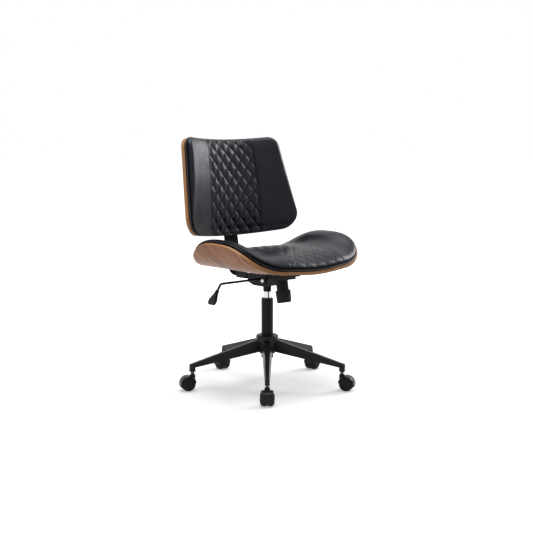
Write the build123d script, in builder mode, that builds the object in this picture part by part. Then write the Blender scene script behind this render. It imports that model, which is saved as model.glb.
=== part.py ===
from build123d import *
import os
from math import asin, cos, pi, radians, sin, sqrt, tan

# Office chair on castors: bent-plywood seat and back with padded covers, tilt mechanism,
# gas lift and five-legged base. Millimetres, +Z up, origin on the floor under the column.
# The sitter faces -Y, so the sitter's right is -X.

# Fits
running_gap = 0.05
soft_gap = 0.3

# Castors
wheel_d = 50.0
wheel_w = 20.0
wheel_chamfer = 2.5
wheel_round = 6.0
wheel_dish_r = 17.0
wheel_dish_depth = 1.2
wheel_side_gap = 1.0
hood_web_t = 7.0
hood_w = 40.0
hood_wall = 2.5
hood_gap = 1.2
hood_lip_front_z = 8.0
hood_lip_back_z = 36.0
axle_d = 6.0
axle_boss_d = 15.0
castor_trail = 17.0
stem_d = 11.0
stem_boss_d = 19.0
stem_seat_z = 50.0
hood_top_z = 57.0

# Five-legged base
leg_count = 5
first_leg_angle = 228.0
leg_tip_radius = 280.0
stem_inset = 10.0
leg_root_radius = 22.0
leg_root_z = (124.0, 168.0)
leg_tip_z = (77.0, 91.0)
leg_root_w = (36.0, 22.0)
leg_tip_w = (17.0, 11.0)
leg_drop_z = 66.0
leg_drop_len = 19.0
stem_socket_depth = 20.0
hub_d = 78.0
hub_top_d = 62.0
hub_top_z = 180.0
hub_shoulder_z = 168.0
hub_waist_z = 154.0
hub_foot_d = 56.0
hub_foot_z = 114.0

# Gas lift column
column_d = 42.0
column_wall = 2.0
column_foot_z = 98.0
column_top_z = 307.0
column_floor_t = 4.0
bush_length = 60.0
bush_lip_t = 2.5
rod_d = 10.0
rod_shoulder_d = 18.0
rod_shoulder_t = 4.0
rod_top_z = 262.0
bearing_d = 28.0
bearing_t = 6.0
clip_d = 18.0
clip_t = 1.6
rod_tail = 5.0
cylinder_d = 25.0
cylinder_foot_z = 142.0
cylinder_bore_roof_z = 345.0
taper_foot_z = 332.0
taper_top_z = 366.0
taper_top_d = 24.0
button_d = 6.0
button_travel = 4.0
button_hidden = 4.0

# Tilt mechanism
socket_d = 29.0
socket_top_d = 34.0
housing_w = 76.0
housing_wall = 3.0
housing_floor_z = 353.5
housing_floor_y = (-28.0, 30.0)
housing_front_y = -104.0
housing_front_floor_z = 382.0
housing_step_y = -46.0
housing_front_top_z = 407.0
housing_rear_y = 60.0
housing_rear_z = (364.0, 392.0)
housing_open_rise = 40.0
pivot_y = -24.0
pivot_z = 376.0
pivot_d = 8.0
pivot_head_d = 15.0
pivot_head_t = 5.0
flange_gap = 0.4
plate_t = 3.0
plate_w = 164.0
plate_y = (-123.0, 122.0)
flange_low_z = 399.0
front_lip_z = 393.0
ear_r = 13.0
bracket_y = (66.0, 118.0)
bracket_rear_z = 384.0
saddle_z = 403.0
saddle_w = 48.0
saddle_len = 34.0
saddle_slot_front = 9.0
saddle_slot_rear = 2.5

# Tension spring, bolt and knob on a leaning axis
tension_y = -73.0
tension_lean = 10.5
spring_tube_d = 42.0
spring_tube_wall = 2.0
spring_tube_len = 49.0
bolt_d = 8.0
bolt_head_d = 18.0
bolt_head_t = 5.0
bolt_head_gap = 0.5
bolt_hole_gap = 0.5
knob_top_d = 53.0
knob_foot_d = 50.0
knob_rim_at = 38.0
knob_len = 43.0
knob_cup_depth = 25.0
knob_wall_gap = 1.2
knob_groove_d = 3.0
knob_grooves = 24
knob_round = 3.0
spring_cup_d = 36.0
spring_cup_t = 4.0
spring_cup_at = 47.0
spring_d = 34.0
spring_wire_d = 4.5
spring_turns = 4

# Height lever on the sitter's right
lever_d = 8.0
lever_z = 378.0
lever_tip_x = 9.0
lever_bend_x = -209.0
lever_bend_r = 12.0
lever_drop_angle = 57.0
lever_arm_len = 48.0
button_gap = 0.6
lever_bush_d = 15.0
lever_bush_len = 11.0
lever_swing_gap = 1.2
lever_pin_d = 4.0
lever_pin_len = 13.0
paddle_at = 24.0
paddle_len = 54.0
paddle_steps = (0.0, 0.5, 0.9, 1.0)
paddle_w = (14.0, 26.0, 33.0, 25.0)
paddle_t = (12.0, 14.0, 11.0, 7.0)

# Seat shell and cushion: a flat middle with wings bent up on both sides
seat_top_z = 432.0
ply_t = 12.0
seat_flat = 140.0
wing_r = 134.0
seat_half_girth = 305.0
seat_half_depth = 210.0
seat_centre_y = -40.0
seat_front_power = 2.85
seat_rear_power = 2.4
cut_angle = 35.0
cut_reach = 400.0
girth_margin = 15.0
outline_steps = 12
seat_bolt_spacing = (128.0, 180.0)
seat_bolt_y = -8.0
seat_bolt_d = 6.0
seat_bolt_head_d = 12.0
seat_bolt_head_t = 4.0
seat_bolt_cover = 2.0
seat_inset = 3.0
seat_pad_gap = 1.3
seat_crown = 48.0
seat_edge_t = 30.0
seat_seam = 119.0
seat_seam_dip = 3.0
seat_stations = (-0.93, -0.8, -0.5, 0.0, 0.5, 0.78, 0.9)

# Back: a panel bent round a leaning line
back_foot_y = 183.0
back_foot_z = 516.0
back_lean = 10.4
back_bend_r = 436.0
back_height = 345.0
back_foot_half = 258.0
back_top_half = 211.0
back_foot_round = 56.0
back_top_round = 40.0
back_foot_bow = 7.5
back_top_dip = 3.0
back_inset = 3.0
back_crown = 36.0
back_edge_t = 24.0
back_seam = (119.0, 110.0)
back_seam_dip = 3.0
back_stations = (0.02, 0.1, 0.3, 0.55, 0.8, 0.93, 0.98)

# Flat bar that carries the back
bar_w = 60.0
bar_t = 5.0
bar_bend_r = 42.0
bar_front_y = 68.0
bar_top_up = 190.0
bar_bolt_y = (80.0, 104.0)
bar_bolt_d = 8.0
bar_bolt_head_d = 14.0
bar_bolt_head_t = 5.0
back_bolt_spacing = (34.0, 90.0)
back_bolt_up = 120.0
back_bolt_d = 6.0
back_bolt_head_d = 12.0
back_bolt_head_t = 4.0
back_bolt_cover = 2.0

os.makedirs("parts", exist_ok=True)


def write(builder, name):
    """Label one finished piece and write its file."""
    builder.part.label = name
    export_step(builder.part, f"parts/{name}.step")


def ring_plane(angle, radius):
    """Upright plane that faces outwards at one angle and radius: across, then up."""
    turn = radians(angle)
    outwards = (cos(turn), sin(turn), 0)
    return Plane((radius * cos(turn), radius * sin(turn), 0), (-sin(turn), cos(turn), 0), outwards)


def four_sided(z_pair, w_pair):
    """Corners of a leg's trapezium section from its heights and its bottom and top widths."""
    low, high = z_pair
    wide, narrow = w_pair
    return [(-wide / 2, low), (wide / 2, low), (narrow / 2, high), (-narrow / 2, high)]


# Base: cast hub with five tapered legs, each ending in a drop with a blind socket
leg_angles = [first_leg_angle + index * 360 / leg_count for index in range(leg_count)]
stem_socket_r = stem_d / 2 + running_gap
stem_radius = leg_tip_radius - stem_inset

with BuildPart() as base_star:
    with BuildSketch(Plane.XZ):
        with BuildLine():
            bore_r = column_d / 2 + running_gap
            Line((bore_r, hub_foot_z), (bore_r, hub_top_z))
            Line((bore_r, hub_top_z), (hub_top_d / 2, hub_top_z))
            TangentArc((hub_top_d / 2, hub_top_z), (hub_d / 2, hub_shoulder_z), tangent=(1, 0))
            Line((hub_d / 2, hub_shoulder_z), (hub_d / 2, hub_waist_z))
            Line((hub_d / 2, hub_waist_z), (hub_foot_d / 2, hub_foot_z))
            Line((hub_foot_d / 2, hub_foot_z), (bore_r, hub_foot_z))
        make_face()
    revolve(axis=Axis.Z)
    for leg_angle in leg_angles:
        with BuildSketch(ring_plane(leg_angle, leg_root_radius)):
            Polygon(*four_sided(leg_root_z, leg_root_w), align=None)
        with BuildSketch(ring_plane(leg_angle, leg_tip_radius)):
            Polygon(*four_sided(leg_tip_z, leg_tip_w), align=None)
        loft(ruled=True)
        with BuildSketch(ring_plane(leg_angle, leg_tip_radius)):
            Polygon(*four_sided((leg_drop_z, leg_tip_z[1]), (leg_tip_w[0], leg_tip_w[1])), align=None)
        extrude(amount=-leg_drop_len)
    with BuildSketch(Plane.XY.offset(leg_drop_z)):
        with PolarLocations(stem_radius, leg_count, start_angle=first_leg_angle):
            Circle(stem_socket_r)
    extrude(amount=stem_socket_depth, mode=Mode.SUBTRACT)
    with BuildSketch(Plane.XY.offset(hub_foot_z)):
        Circle(bore_r)
    extrude(amount=hub_top_z - hub_foot_z, mode=Mode.SUBTRACT)
write(base_star, "base_star")


# Castors: stem, hood with a middle web, axle and two wheels, all trailing outwards at rest
axle_z = wheel_d / 2
pocket_r = wheel_d / 2 + hood_gap
hood_r = pocket_r + hood_wall
wheel_inner = hood_web_t / 2 + wheel_side_gap
wheel_outer = wheel_inner + wheel_w
wheel_bore_r = axle_d / 2 + running_gap
hood_reach = 2 * hood_r


def castor(number, angle):
    """One hooded twin-wheel castor under the tip of the leg at this angle."""
    turn = radians(angle)
    trail = Vector(cos(turn), sin(turn), 0)
    foot = Vector(stem_radius * cos(turn), stem_radius * sin(turn), 0)
    across = trail.cross(Vector(0, 0, 1))
    ground = Plane(foot, trail, (0, 0, 1))
    side = Plane(foot, trail, across)
    axle_centre = foot + trail * castor_trail + Vector(0, 0, axle_z)
    axle_plane = Plane(axle_centre, across, trail)
    name = f"castor_{number}"

    with BuildPart() as stem:
        with BuildSketch(ground.offset(stem_seat_z)):
            Circle(stem_d / 2)
        extrude(amount=leg_drop_z + stem_socket_depth - soft_gap - stem_seat_z)
        chamfer(stem.edges().sort_by(Axis.Z)[-1], stem_d / 8)
    write(stem, f"{name}_stem")

    with BuildPart() as hood:
        with BuildSketch(side):
            with Locations((castor_trail, axle_z)):
                Circle(hood_r)
            with BuildLine():
                Polyline(
                    (castor_trail + hood_reach, hood_lip_front_z),
                    (castor_trail - hood_reach, hood_lip_back_z),
                    (castor_trail - hood_reach, -hood_reach),
                    (castor_trail + hood_reach, -hood_reach),
                    close=True,
                )
            make_face(mode=Mode.SUBTRACT)
        extrude(amount=hood_w / 2, both=True)
        with BuildSketch(ground.offset(axle_z)):
            Circle(stem_boss_d / 2)
        extrude(amount=hood_top_z - axle_z)
        for face_side in (1, -1):
            with BuildSketch(side.offset(face_side * hood_web_t / 2)):
                with Locations((castor_trail, axle_z)):
                    Circle(pocket_r)
            extrude(amount=face_side * hood_w, mode=Mode.SUBTRACT)
        with BuildSketch(side):
            with Locations((castor_trail, axle_z)):
                Circle(axle_boss_d / 2)
        extrude(amount=hood_web_t / 2, both=True)
        with BuildSketch(side):
            with Locations((castor_trail, axle_z)):
                Circle(axle_d / 2)
        extrude(amount=hood_web_t, both=True, mode=Mode.SUBTRACT)
        with BuildSketch(ground.offset(stem_seat_z)):
            Circle(stem_d / 2)
        extrude(amount=hood_top_z - stem_seat_z, mode=Mode.SUBTRACT)
    write(hood, f"{name}_hood")

    with BuildPart() as axle:
        with BuildSketch(side):
            with Locations((castor_trail, axle_z)):
                Circle(axle_d / 2)
        extrude(amount=wheel_outer - 2 * wheel_dish_depth, both=True)
    write(axle, f"{name}_axle")

    for face_side, wheel_name in ((1, "wheel_left"), (-1, "wheel_right")):
        with BuildPart() as wheel:
            with BuildSketch(axle_plane):
                with BuildLine():
                    Polyline(
                        (face_side * wheel_outer, wheel_d / 2 - wheel_round),
                        (face_side * wheel_outer, wheel_dish_r),
                        (face_side * (wheel_outer - wheel_dish_depth), wheel_dish_r - wheel_dish_depth),
                        (face_side * (wheel_outer - wheel_dish_depth), wheel_bore_r),
                        (face_side * wheel_inner, wheel_bore_r),
                        (face_side * wheel_inner, wheel_d / 2 - wheel_chamfer),
                        (face_side * (wheel_inner + wheel_chamfer), wheel_d / 2),
                        (face_side * (wheel_outer - wheel_round), wheel_d / 2),
                    )
                    TangentArc(
                        (face_side * (wheel_outer - wheel_round), wheel_d / 2),
                        (face_side * wheel_outer, wheel_d / 2 - wheel_round),
                        tangent=(face_side, 0),
                    )
                make_face()
            revolve(axis=Axis(axle_centre, across))
        write(wheel, f"{name}_{wheel_name}")


for number, angle in enumerate(leg_angles, start=1):
    castor(number, angle)


def turned(points):
    """Solid of revolution about the column from (radius, height) corners."""
    with BuildPart() as body:
        with BuildSketch(Plane.XZ):
            with BuildLine():
                Polyline(*points, close=True)
            make_face()
        revolve(axis=Axis.Z)
    return body


# Column: outer tube with a floor, guide bush, and the rod that stands on a thrust bearing
column_r = column_d / 2
column_bore_r = column_r - column_wall
column_floor_z = column_foot_z + column_floor_t
rod_r = rod_d / 2
rod_hole_r = rod_r + running_gap
cylinder_r = cylinder_d / 2
bush_bore_r = cylinder_r + running_gap
bush_foot_z = column_top_z - bush_length

column_tube = turned([
    (rod_hole_r, column_foot_z),
    (column_r, column_foot_z),
    (column_r, column_top_z),
    (column_bore_r, column_top_z),
    (column_bore_r, column_floor_z),
    (rod_hole_r, column_floor_z),
])
write(column_tube, "column_tube")

guide_bush = turned([
    (bush_bore_r, bush_foot_z),
    (column_bore_r, bush_foot_z),
    (column_bore_r, column_top_z),
    (column_r - column_wall / 2, column_top_z),
    (column_r - column_wall, column_top_z + bush_lip_t),
    (bush_bore_r, column_top_z + bush_lip_t),
])
write(guide_bush, "guide_bush")

bearing_top_z = column_floor_z + bearing_t
thrust_bearing = turned([
    (rod_hole_r, column_floor_z),
    (bearing_d / 2, column_floor_z),
    (bearing_d / 2, bearing_top_z),
    (rod_hole_r, bearing_top_z),
])
write(thrust_bearing, "thrust_bearing")

piston_rod = turned([
    (0, column_foot_z - clip_t - rod_tail),
    (rod_r, column_foot_z - clip_t - rod_tail),
    (rod_r, bearing_top_z),
    (rod_shoulder_d / 2, bearing_top_z),
    (rod_shoulder_d / 2, bearing_top_z + rod_shoulder_t),
    (rod_r, bearing_top_z + rod_shoulder_t),
    (rod_r, rod_top_z),
    (0, rod_top_z),
])
write(piston_rod, "piston_rod")

rod_clip = turned([
    (rod_r, column_foot_z - clip_t),
    (clip_d / 2, column_foot_z - clip_t),
    (clip_d / 2, column_foot_z),
    (rod_r, column_foot_z),
])
write(rod_clip, "rod_clip")

# Gas cylinder: chromed body that slides in the bush, with a tapered head and a valve button
button_top_z = lever_z - lever_d / 2 - button_gap
button_hole_r = button_d / 2 + running_gap
button_hole_z = taper_top_z - button_hidden - button_travel - running_gap

gas_cylinder = turned([
    (rod_hole_r, cylinder_foot_z),
    (cylinder_r, cylinder_foot_z),
    (cylinder_r, taper_foot_z),
    (taper_top_d / 2, taper_top_z),
    (button_hole_r, taper_top_z),
    (button_hole_r, button_hole_z),
    (0, button_hole_z),
    (0, cylinder_bore_roof_z),
    (rod_hole_r, cylinder_bore_roof_z),
])
write(gas_cylinder, "gas_cylinder")

with BuildPart() as valve_button:
    with BuildSketch(Plane.XY.offset(taper_top_z - button_hidden)):
        Circle(button_d / 2)
    extrude(amount=button_top_z - taper_top_z + button_hidden)
    fillet(valve_button.edges().sort_by(Axis.Z)[-1], button_d / 6)
write(valve_button, "valve_button")

# Taper socket: steel collar welded into the housing, gripping the cylinder's head
taper_socket = turned([
    (cylinder_r + running_gap, taper_foot_z),
    (socket_d / 2, taper_foot_z),
    (socket_d / 2, housing_floor_z + housing_wall),
    (socket_top_d / 2, housing_floor_z + housing_wall),
    (socket_top_d / 2, taper_top_z),
    (taper_top_d / 2 + running_gap, taper_top_z),
])
write(taper_socket, "taper_socket")


def housing_side(rise):
    """Side outline of the pressed housing, with its open top raised by this much."""
    return [
        (housing_front_y, housing_front_top_z + rise),
        (housing_front_y, housing_front_floor_z),
        (housing_step_y, housing_front_floor_z),
        (housing_floor_y[0], housing_floor_z),
        (housing_floor_y[1], housing_floor_z),
        (housing_rear_y, housing_rear_z[0]),
        (housing_rear_y, housing_rear_z[1] + rise),
        (pivot_y, housing_front_top_z + rise),
    ]


# Leaning axis of the tension bolt: distances along it run down from the housing's front floor
lean = radians(tension_lean)
tension_down = Vector(0, -sin(lean), -cos(lean))
tension_top = Vector(0, tension_y, housing_front_floor_z)
tension_plane = Plane(tension_top, (1, 0, 0), tension_down)
tension_axis = Axis(tension_top, tension_down)
pivot_hole_r = pivot_d / 2 + running_gap
lever_pivot_x = -(housing_w - lever_bush_len) / 2

with BuildPart() as tilt_housing:
    with BuildSketch(Plane.YZ):
        Polygon(*housing_side(0), align=None)
    extrude(amount=housing_w / 2, both=True)
    with BuildSketch(Plane.YZ) as hollow:
        Polygon(*housing_side(housing_open_rise), align=None)
        offset(amount=-housing_wall, kind=Kind.INTERSECTION, mode=Mode.REPLACE)
    extrude(amount=housing_w / 2 - housing_wall, both=True, mode=Mode.SUBTRACT)
    with BuildSketch(Plane.XY.offset(housing_floor_z)):
        Circle(socket_d / 2)
    extrude(amount=housing_wall, mode=Mode.SUBTRACT)
    with BuildSketch(Plane.YZ):
        with Locations((pivot_y, pivot_z)):
            Circle(pivot_hole_r)
    extrude(amount=housing_w, both=True, mode=Mode.SUBTRACT)
    with BuildSketch(Plane.YZ.offset(-housing_w / 2)):
        with Locations((0, lever_z)):
            Circle(lever_bush_d / 2)
    extrude(amount=housing_wall, mode=Mode.SUBTRACT)
    with BuildSketch(tension_plane):
        Circle(bolt_d / 2 + bolt_hole_gap)
    extrude(amount=-2 * housing_wall, both=True, mode=Mode.SUBTRACT)
write(tilt_housing, "tilt_housing")

# Seat plate: pressed plate with two flanges that straddle the housing on the pivot bolt,
# a front lip, a saddle for the tension bolt and a rear channel that grips the back bar
seat_under_z = seat_top_z - ply_t
plate_under_z = seat_under_z - plate_t
flange_in = housing_w / 2 + flange_gap
flange_out = flange_in + plate_t
bar_leg_z = bracket_rear_z - plate_t - bar_t / 2
bracket_low_z = bar_leg_z - bar_t / 2 - plate_t
tension_saddle_y = tension_y + (saddle_z - housing_front_floor_z) * tan(lean)
saddle_y = tension_saddle_y - (saddle_slot_front - saddle_slot_rear) / 2
slot_len = bolt_d + saddle_slot_front + saddle_slot_rear

with BuildPart() as seat_plate:
    with BuildSketch(Plane.XY.offset(plate_under_z)) as plate_outline:
        with Locations((0, (plate_y[0] + plate_y[1]) / 2)):
            Rectangle(plate_w, plate_y[1] - plate_y[0])
        chamfer(plate_outline.vertices(), plate_w / 8)
    extrude(amount=plate_t)
    with BuildSketch(Plane.YZ.offset(flange_in)):
        Polygon(
            (plate_y[0], plate_under_z),
            (plate_y[0], front_lip_z),
            (housing_step_y, flange_low_z),
            (pivot_y - ear_r, pivot_z),
            (pivot_y + ear_r, pivot_z),
            (0, flange_low_z),
            (housing_rear_y, flange_low_z),
            (bracket_y[0], bracket_low_z),
            (bracket_y[1], bracket_low_z),
            (bracket_y[1], bracket_rear_z),
            (plate_y[1], flange_low_z),
            (plate_y[1], plate_under_z),
            align=None,
        )
        with Locations((pivot_y, pivot_z)):
            Circle(ear_r)
            Circle(pivot_hole_r, mode=Mode.SUBTRACT)
    extrude(amount=plate_t)
    mirror(about=Plane.YZ)
    with BuildSketch(Plane.XY.offset(bracket_low_z)):
        with Locations((0, (bracket_y[0] + bracket_y[1]) / 2)):
            Rectangle(2 * flange_out, bracket_y[1] - bracket_y[0])
        with Locations(*[(0, place) for place in bar_bolt_y]):
            Circle(bar_bolt_d / 2, mode=Mode.SUBTRACT)
    extrude(amount=plate_t)
    with BuildSketch(Plane.XZ.offset(-plate_y[0])):
        with Locations((0, (front_lip_z + plate_under_z) / 2)):
            Rectangle(2 * flange_out, plate_under_z - front_lip_z)
    extrude(amount=-plate_t)
    with BuildSketch(Plane.XY.offset(saddle_z - plate_t)):
        with Locations((0, saddle_y)):
            Rectangle(saddle_w, saddle_len)
            SlotOverall(slot_len, bolt_d + 4 * bolt_hole_gap, rotation=90, mode=Mode.SUBTRACT)
    extrude(amount=plate_t)
    with BuildSketch(Plane.XY.offset(saddle_z)):
        with Locations(((saddle_w - plate_t) / 2, saddle_y), (-(saddle_w - plate_t) / 2, saddle_y)):
            Rectangle(plate_t, saddle_len)
    extrude(amount=plate_under_z - saddle_z)
    with BuildSketch(Plane.XY.offset(plate_under_z)):
        with Locations((0, seat_bolt_y)):
            with GridLocations(*seat_bolt_spacing, 2, 2):
                Circle(seat_bolt_d / 2)
    extrude(amount=plate_t, mode=Mode.SUBTRACT)
write(seat_plate, "seat_plate")

# Pivot bolt through both flanges and the housing, with its nut on the far side
with BuildPart() as pivot_bolt:
    with BuildSketch(Plane.YZ.offset(-flange_out)):
        with Locations((pivot_y, pivot_z)):
            Circle(pivot_d / 2)
    extrude(amount=2 * flange_out + 2 * pivot_head_t)
    with BuildSketch(Plane.YZ.offset(-flange_out)):
        with Locations((pivot_y, pivot_z)):
            Circle(pivot_head_d / 2)
    extrude(amount=-pivot_head_t)
    fillet(pivot_bolt.faces().sort_by(Axis.X)[0].edges(), pivot_head_t / 3)
write(pivot_bolt, "pivot_bolt")

with BuildPart() as pivot_nut:
    with BuildSketch(Plane.YZ.offset(flange_out)):
        with Locations((pivot_y, pivot_z)):
            RegularPolygon(pivot_head_d / 2, 6)
            Circle(pivot_d / 2, mode=Mode.SUBTRACT)
    extrude(amount=pivot_head_t)
write(pivot_nut, "pivot_nut")

# Spring tube welded under the housing's front floor, its end hidden in the knob
with BuildPart() as spring_tube:
    with BuildSketch(tension_plane.offset(-spring_tube_d)):
        Circle(spring_tube_d / 2)
        Circle(spring_tube_d / 2 - spring_tube_wall, mode=Mode.SUBTRACT)
    extrude(amount=spring_tube_d + spring_tube_len)
    split(bisect_by=Plane.XY.offset(housing_front_floor_z), keep=Keep.BOTTOM)
write(spring_tube, "spring_tube")

# Tension bolt with its head on the saddle and a cup that the spring pushes down on
saddle_at = -(saddle_z - housing_front_floor_z) / cos(lean)
head_at = saddle_at - (bolt_head_d / 2) * tan(lean) - bolt_head_gap
knob_foot_at = knob_rim_at + knob_len
knob_floor_at = knob_rim_at + knob_cup_depth
bolt_end_at = (knob_floor_at + knob_foot_at) / 2

with BuildPart() as tension_bolt:
    with BuildSketch(tension_plane.offset(head_at)):
        Circle(bolt_d / 2)
    extrude(amount=bolt_end_at - head_at)
    with BuildSketch(tension_plane.offset(head_at)):
        Circle(bolt_head_d / 2)
    extrude(amount=-bolt_head_t)
write(tension_bolt, "tension_bolt")

with BuildPart() as spring_cup:
    with BuildSketch(tension_plane.offset(spring_cup_at)):
        Circle(spring_cup_d / 2)
        Circle(bolt_d / 2, mode=Mode.SUBTRACT)
    extrude(amount=spring_cup_t)
    with BuildSketch(tension_plane.offset(spring_cup_at + spring_cup_t)):
        Circle(bolt_head_d / 2)
        Circle(bolt_d / 2, mode=Mode.SUBTRACT)
    extrude(amount=knob_floor_at - spring_cup_at - spring_cup_t)
write(spring_cup, "spring_cup")

# Tension knob: ribbed cup that turns on the bolt and rises over the tube as the seat leans
knob_bore_r = spring_tube_d / 2 + knob_wall_gap

with BuildPart() as tension_knob:
    with BuildSketch(tension_plane.offset(knob_rim_at)):
        Circle(knob_top_d / 2)
    with BuildSketch(tension_plane.offset(knob_foot_at)):
        Circle(knob_foot_d / 2)
    loft()
    fillet(tension_knob.edges().sort_by(Axis.Z)[0], knob_round)
    with BuildSketch(tension_plane.offset(knob_rim_at)):
        with PolarLocations(knob_top_d / 2, knob_grooves):
            Circle(knob_groove_d / 2)
    extrude(amount=knob_len, mode=Mode.SUBTRACT)
    with BuildSketch(tension_plane.offset(knob_rim_at)):
        Circle(knob_bore_r)
    extrude(amount=knob_cup_depth, mode=Mode.SUBTRACT)
    with BuildSketch(tension_plane.offset(knob_floor_at)):
        Circle(bolt_d / 2 + running_gap)
    extrude(amount=bolt_end_at + running_gap - knob_floor_at, mode=Mode.SUBTRACT)
write(tension_knob, "tension_knob")

# Tilt spring: a coil between the housing's front floor and the cup on the bolt
spring_from = (spring_d / 2 + spring_wire_d) * tan(lean) + spring_wire_d
spring_to = spring_cup_at - spring_wire_d / 2 - soft_gap
spring_pitch = (spring_to - spring_from) / spring_turns
coil_r = (spring_d - spring_wire_d) / 2


def coil_point(quarters):
    """Point on the coil's centre line after this many quarter turns."""
    turn = quarters * pi / 2
    along = spring_from + spring_pitch * quarters / 4
    return tension_plane.from_local_coords(Vector(coil_r * cos(turn), coil_r * sin(turn), along))


with BuildPart() as tilt_spring:
    with BuildLine() as coil:
        for quarter in range(4 * spring_turns):
            ThreePointArc(coil_point(quarter), coil_point(quarter + 0.5), coil_point(quarter + 1))
    with BuildSketch(Plane(coil_point(0), x_dir=tension_plane.x_dir, z_dir=coil.line % 0)):
        Circle(spring_wire_d / 2)
    sweep(path=coil.line)
write(tilt_spring, "tilt_spring")

# Height lever: a bent rod that rocks in a bush in the housing wall and presses the button
drop = radians(lever_drop_angle)
lever_way = Vector(-cos(drop), 0, -sin(drop))
lever_corner = Vector(lever_bend_x, 0, lever_z)
lever_end = lever_corner + lever_way * (paddle_at + lever_arm_len)
lever_tip = Vector(lever_tip_x, 0, lever_z)
lever_pin_r = lever_pin_d / 2
lever_pin_plane = Plane((lever_pivot_x, 0, lever_z), (1, 0, 0), (0, 1, 0))

with BuildPart() as lever_rod:
    with BuildLine() as lever_path:
        FilletPolyline(lever_tip, lever_corner, lever_end, radius=lever_bend_r)
    with BuildSketch(Plane(lever_tip, x_dir=(0, 1, 0), z_dir=(-1, 0, 0))):
        Circle(lever_d / 2)
    sweep(path=lever_path.line)
    with BuildSketch(lever_pin_plane):
        Circle(lever_pin_r + running_gap)
    extrude(amount=lever_bush_d, both=True, mode=Mode.SUBTRACT)
write(lever_rod, "lever_rod")

with BuildPart() as lever_pin:
    with BuildSketch(lever_pin_plane):
        Circle(lever_pin_r)
    extrude(amount=lever_pin_len / 2, both=True)
write(lever_pin, "lever_pin")

with BuildPart() as lever_bush:
    bush_start = lever_pivot_x - lever_bush_len / 2
    with BuildSketch(Plane.YZ.offset(bush_start)):
        with Locations((0, lever_z)):
            Circle(lever_bush_d / 2)
            Circle(lever_d / 2 + lever_swing_gap, mode=Mode.SUBTRACT)
    extrude(amount=lever_bush_len)
    with BuildSketch(lever_pin_plane):
        Circle(lever_pin_r + running_gap)
    extrude(amount=lever_bush_d, both=True, mode=Mode.SUBTRACT)
write(lever_bush, "lever_bush")

with BuildPart() as lever_paddle:
    paddle_start = Plane(lever_corner + lever_way * paddle_at, x_dir=(0, 1, 0), z_dir=lever_way)
    for step, across, thick in zip(paddle_steps, paddle_w, paddle_t):
        with BuildSketch(paddle_start.offset(step * paddle_len)):
            RectangleRounded(across, thick, min(across, thick) / 3)
    loft()
    with BuildSketch(paddle_start):
        Circle(lever_d / 2)
    extrude(amount=lever_arm_len, mode=Mode.SUBTRACT)
write(lever_paddle, "lever_paddle")


# Seat shell: one bent ply sheet. A place on it is its girth from the middle line and its height
# above the sheet's top face.
def seat_spot(girth, height):
    """Section point (x, z) at this girth and height over the seat sheet."""
    bent = max(abs(girth) - seat_flat, 0) / wing_r
    sign = 1 if girth >= 0 else -1
    along = min(abs(girth), seat_flat) + (wing_r - height) * sin(bent)
    return (sign * along, seat_top_z + wing_r - (wing_r - height) * cos(bent))


def seat_power(along_y):
    """Corner fullness of the seat outline: fuller in front than behind."""
    return seat_front_power if along_y < seat_centre_y else seat_rear_power


def seat_half(along_y, inset):
    """Half girth of the seat outline at one depth, drawn in by an inset."""
    power = seat_power(along_y)
    share = abs(along_y - seat_centre_y) / (seat_half_depth - inset)
    return (seat_half_girth - inset) * max(1 - share**power, 0) ** (1 / power)


wing_end = seat_half_girth + girth_margin
cut_lean = radians(cut_angle)


def outline_point(step):
    """Edge point of the right half, seen along the cutting direction, from front to rear."""
    turn = pi * step / outline_steps - pi / 2
    power = seat_front_power if turn < 0 else seat_rear_power
    girth = seat_half_girth * cos(turn) ** (2 / power) if abs(turn) < pi / 2 else 0
    depth = seat_half_depth * abs(sin(turn)) ** (2 / power)
    x, z = seat_spot(girth, -ply_t / 2)
    along = x * cos(cut_lean) + (z - seat_top_z) * sin(cut_lean)
    return (along, seat_centre_y + (depth if turn > 0 else -depth))


seat_cut = Plane((0, 0, seat_top_z), (cos(cut_lean), 0, sin(cut_lean)), (-sin(cut_lean), 0, cos(cut_lean)))

with BuildPart() as seat_shell:
    with BuildSketch(Plane.XZ.offset(-seat_centre_y)):
        with BuildLine():
            for height in (0, -ply_t):
                middle = (seat_flat + wing_end) / 2
                for sign in (-1, 1):
                    ThreePointArc(
                        seat_spot(sign * seat_flat, height),
                        seat_spot(sign * middle, height),
                        seat_spot(sign * wing_end, height),
                    )
                Line(seat_spot(-seat_flat, height), seat_spot(seat_flat, height))
            for sign in (-1, 1):
                Line(seat_spot(sign * wing_end, 0), seat_spot(sign * wing_end, -ply_t))
        make_face()
    extrude(amount=seat_half_depth + girth_margin, both=True)
    with BuildSketch(seat_cut):
        with BuildLine():
            edge_points = [outline_point(step) for step in range(outline_steps + 1)]
            edge = Spline(*edge_points, tangents=((1, 0), (-1, 0)))
            Polyline(
                edge_points[-1],
                (-2 * ply_t, edge_points[-1][1]),
                (-2 * ply_t, edge_points[0][1]),
                edge_points[0],
            )
        make_face()
    extrude(amount=cut_reach, both=True, mode=Mode.INTERSECT)
    split(bisect_by=Plane.YZ, keep=Keep.TOP)
    mirror(about=Plane.YZ)
    with BuildSketch(Plane.XY.offset(seat_under_z)):
        with Locations((0, seat_bolt_y)):
            with GridLocations(*seat_bolt_spacing, 2, 2):
                Circle(seat_bolt_d / 2)
    extrude(amount=ply_t - seat_bolt_cover, mode=Mode.SUBTRACT)
write(seat_shell, "seat_shell")

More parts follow.
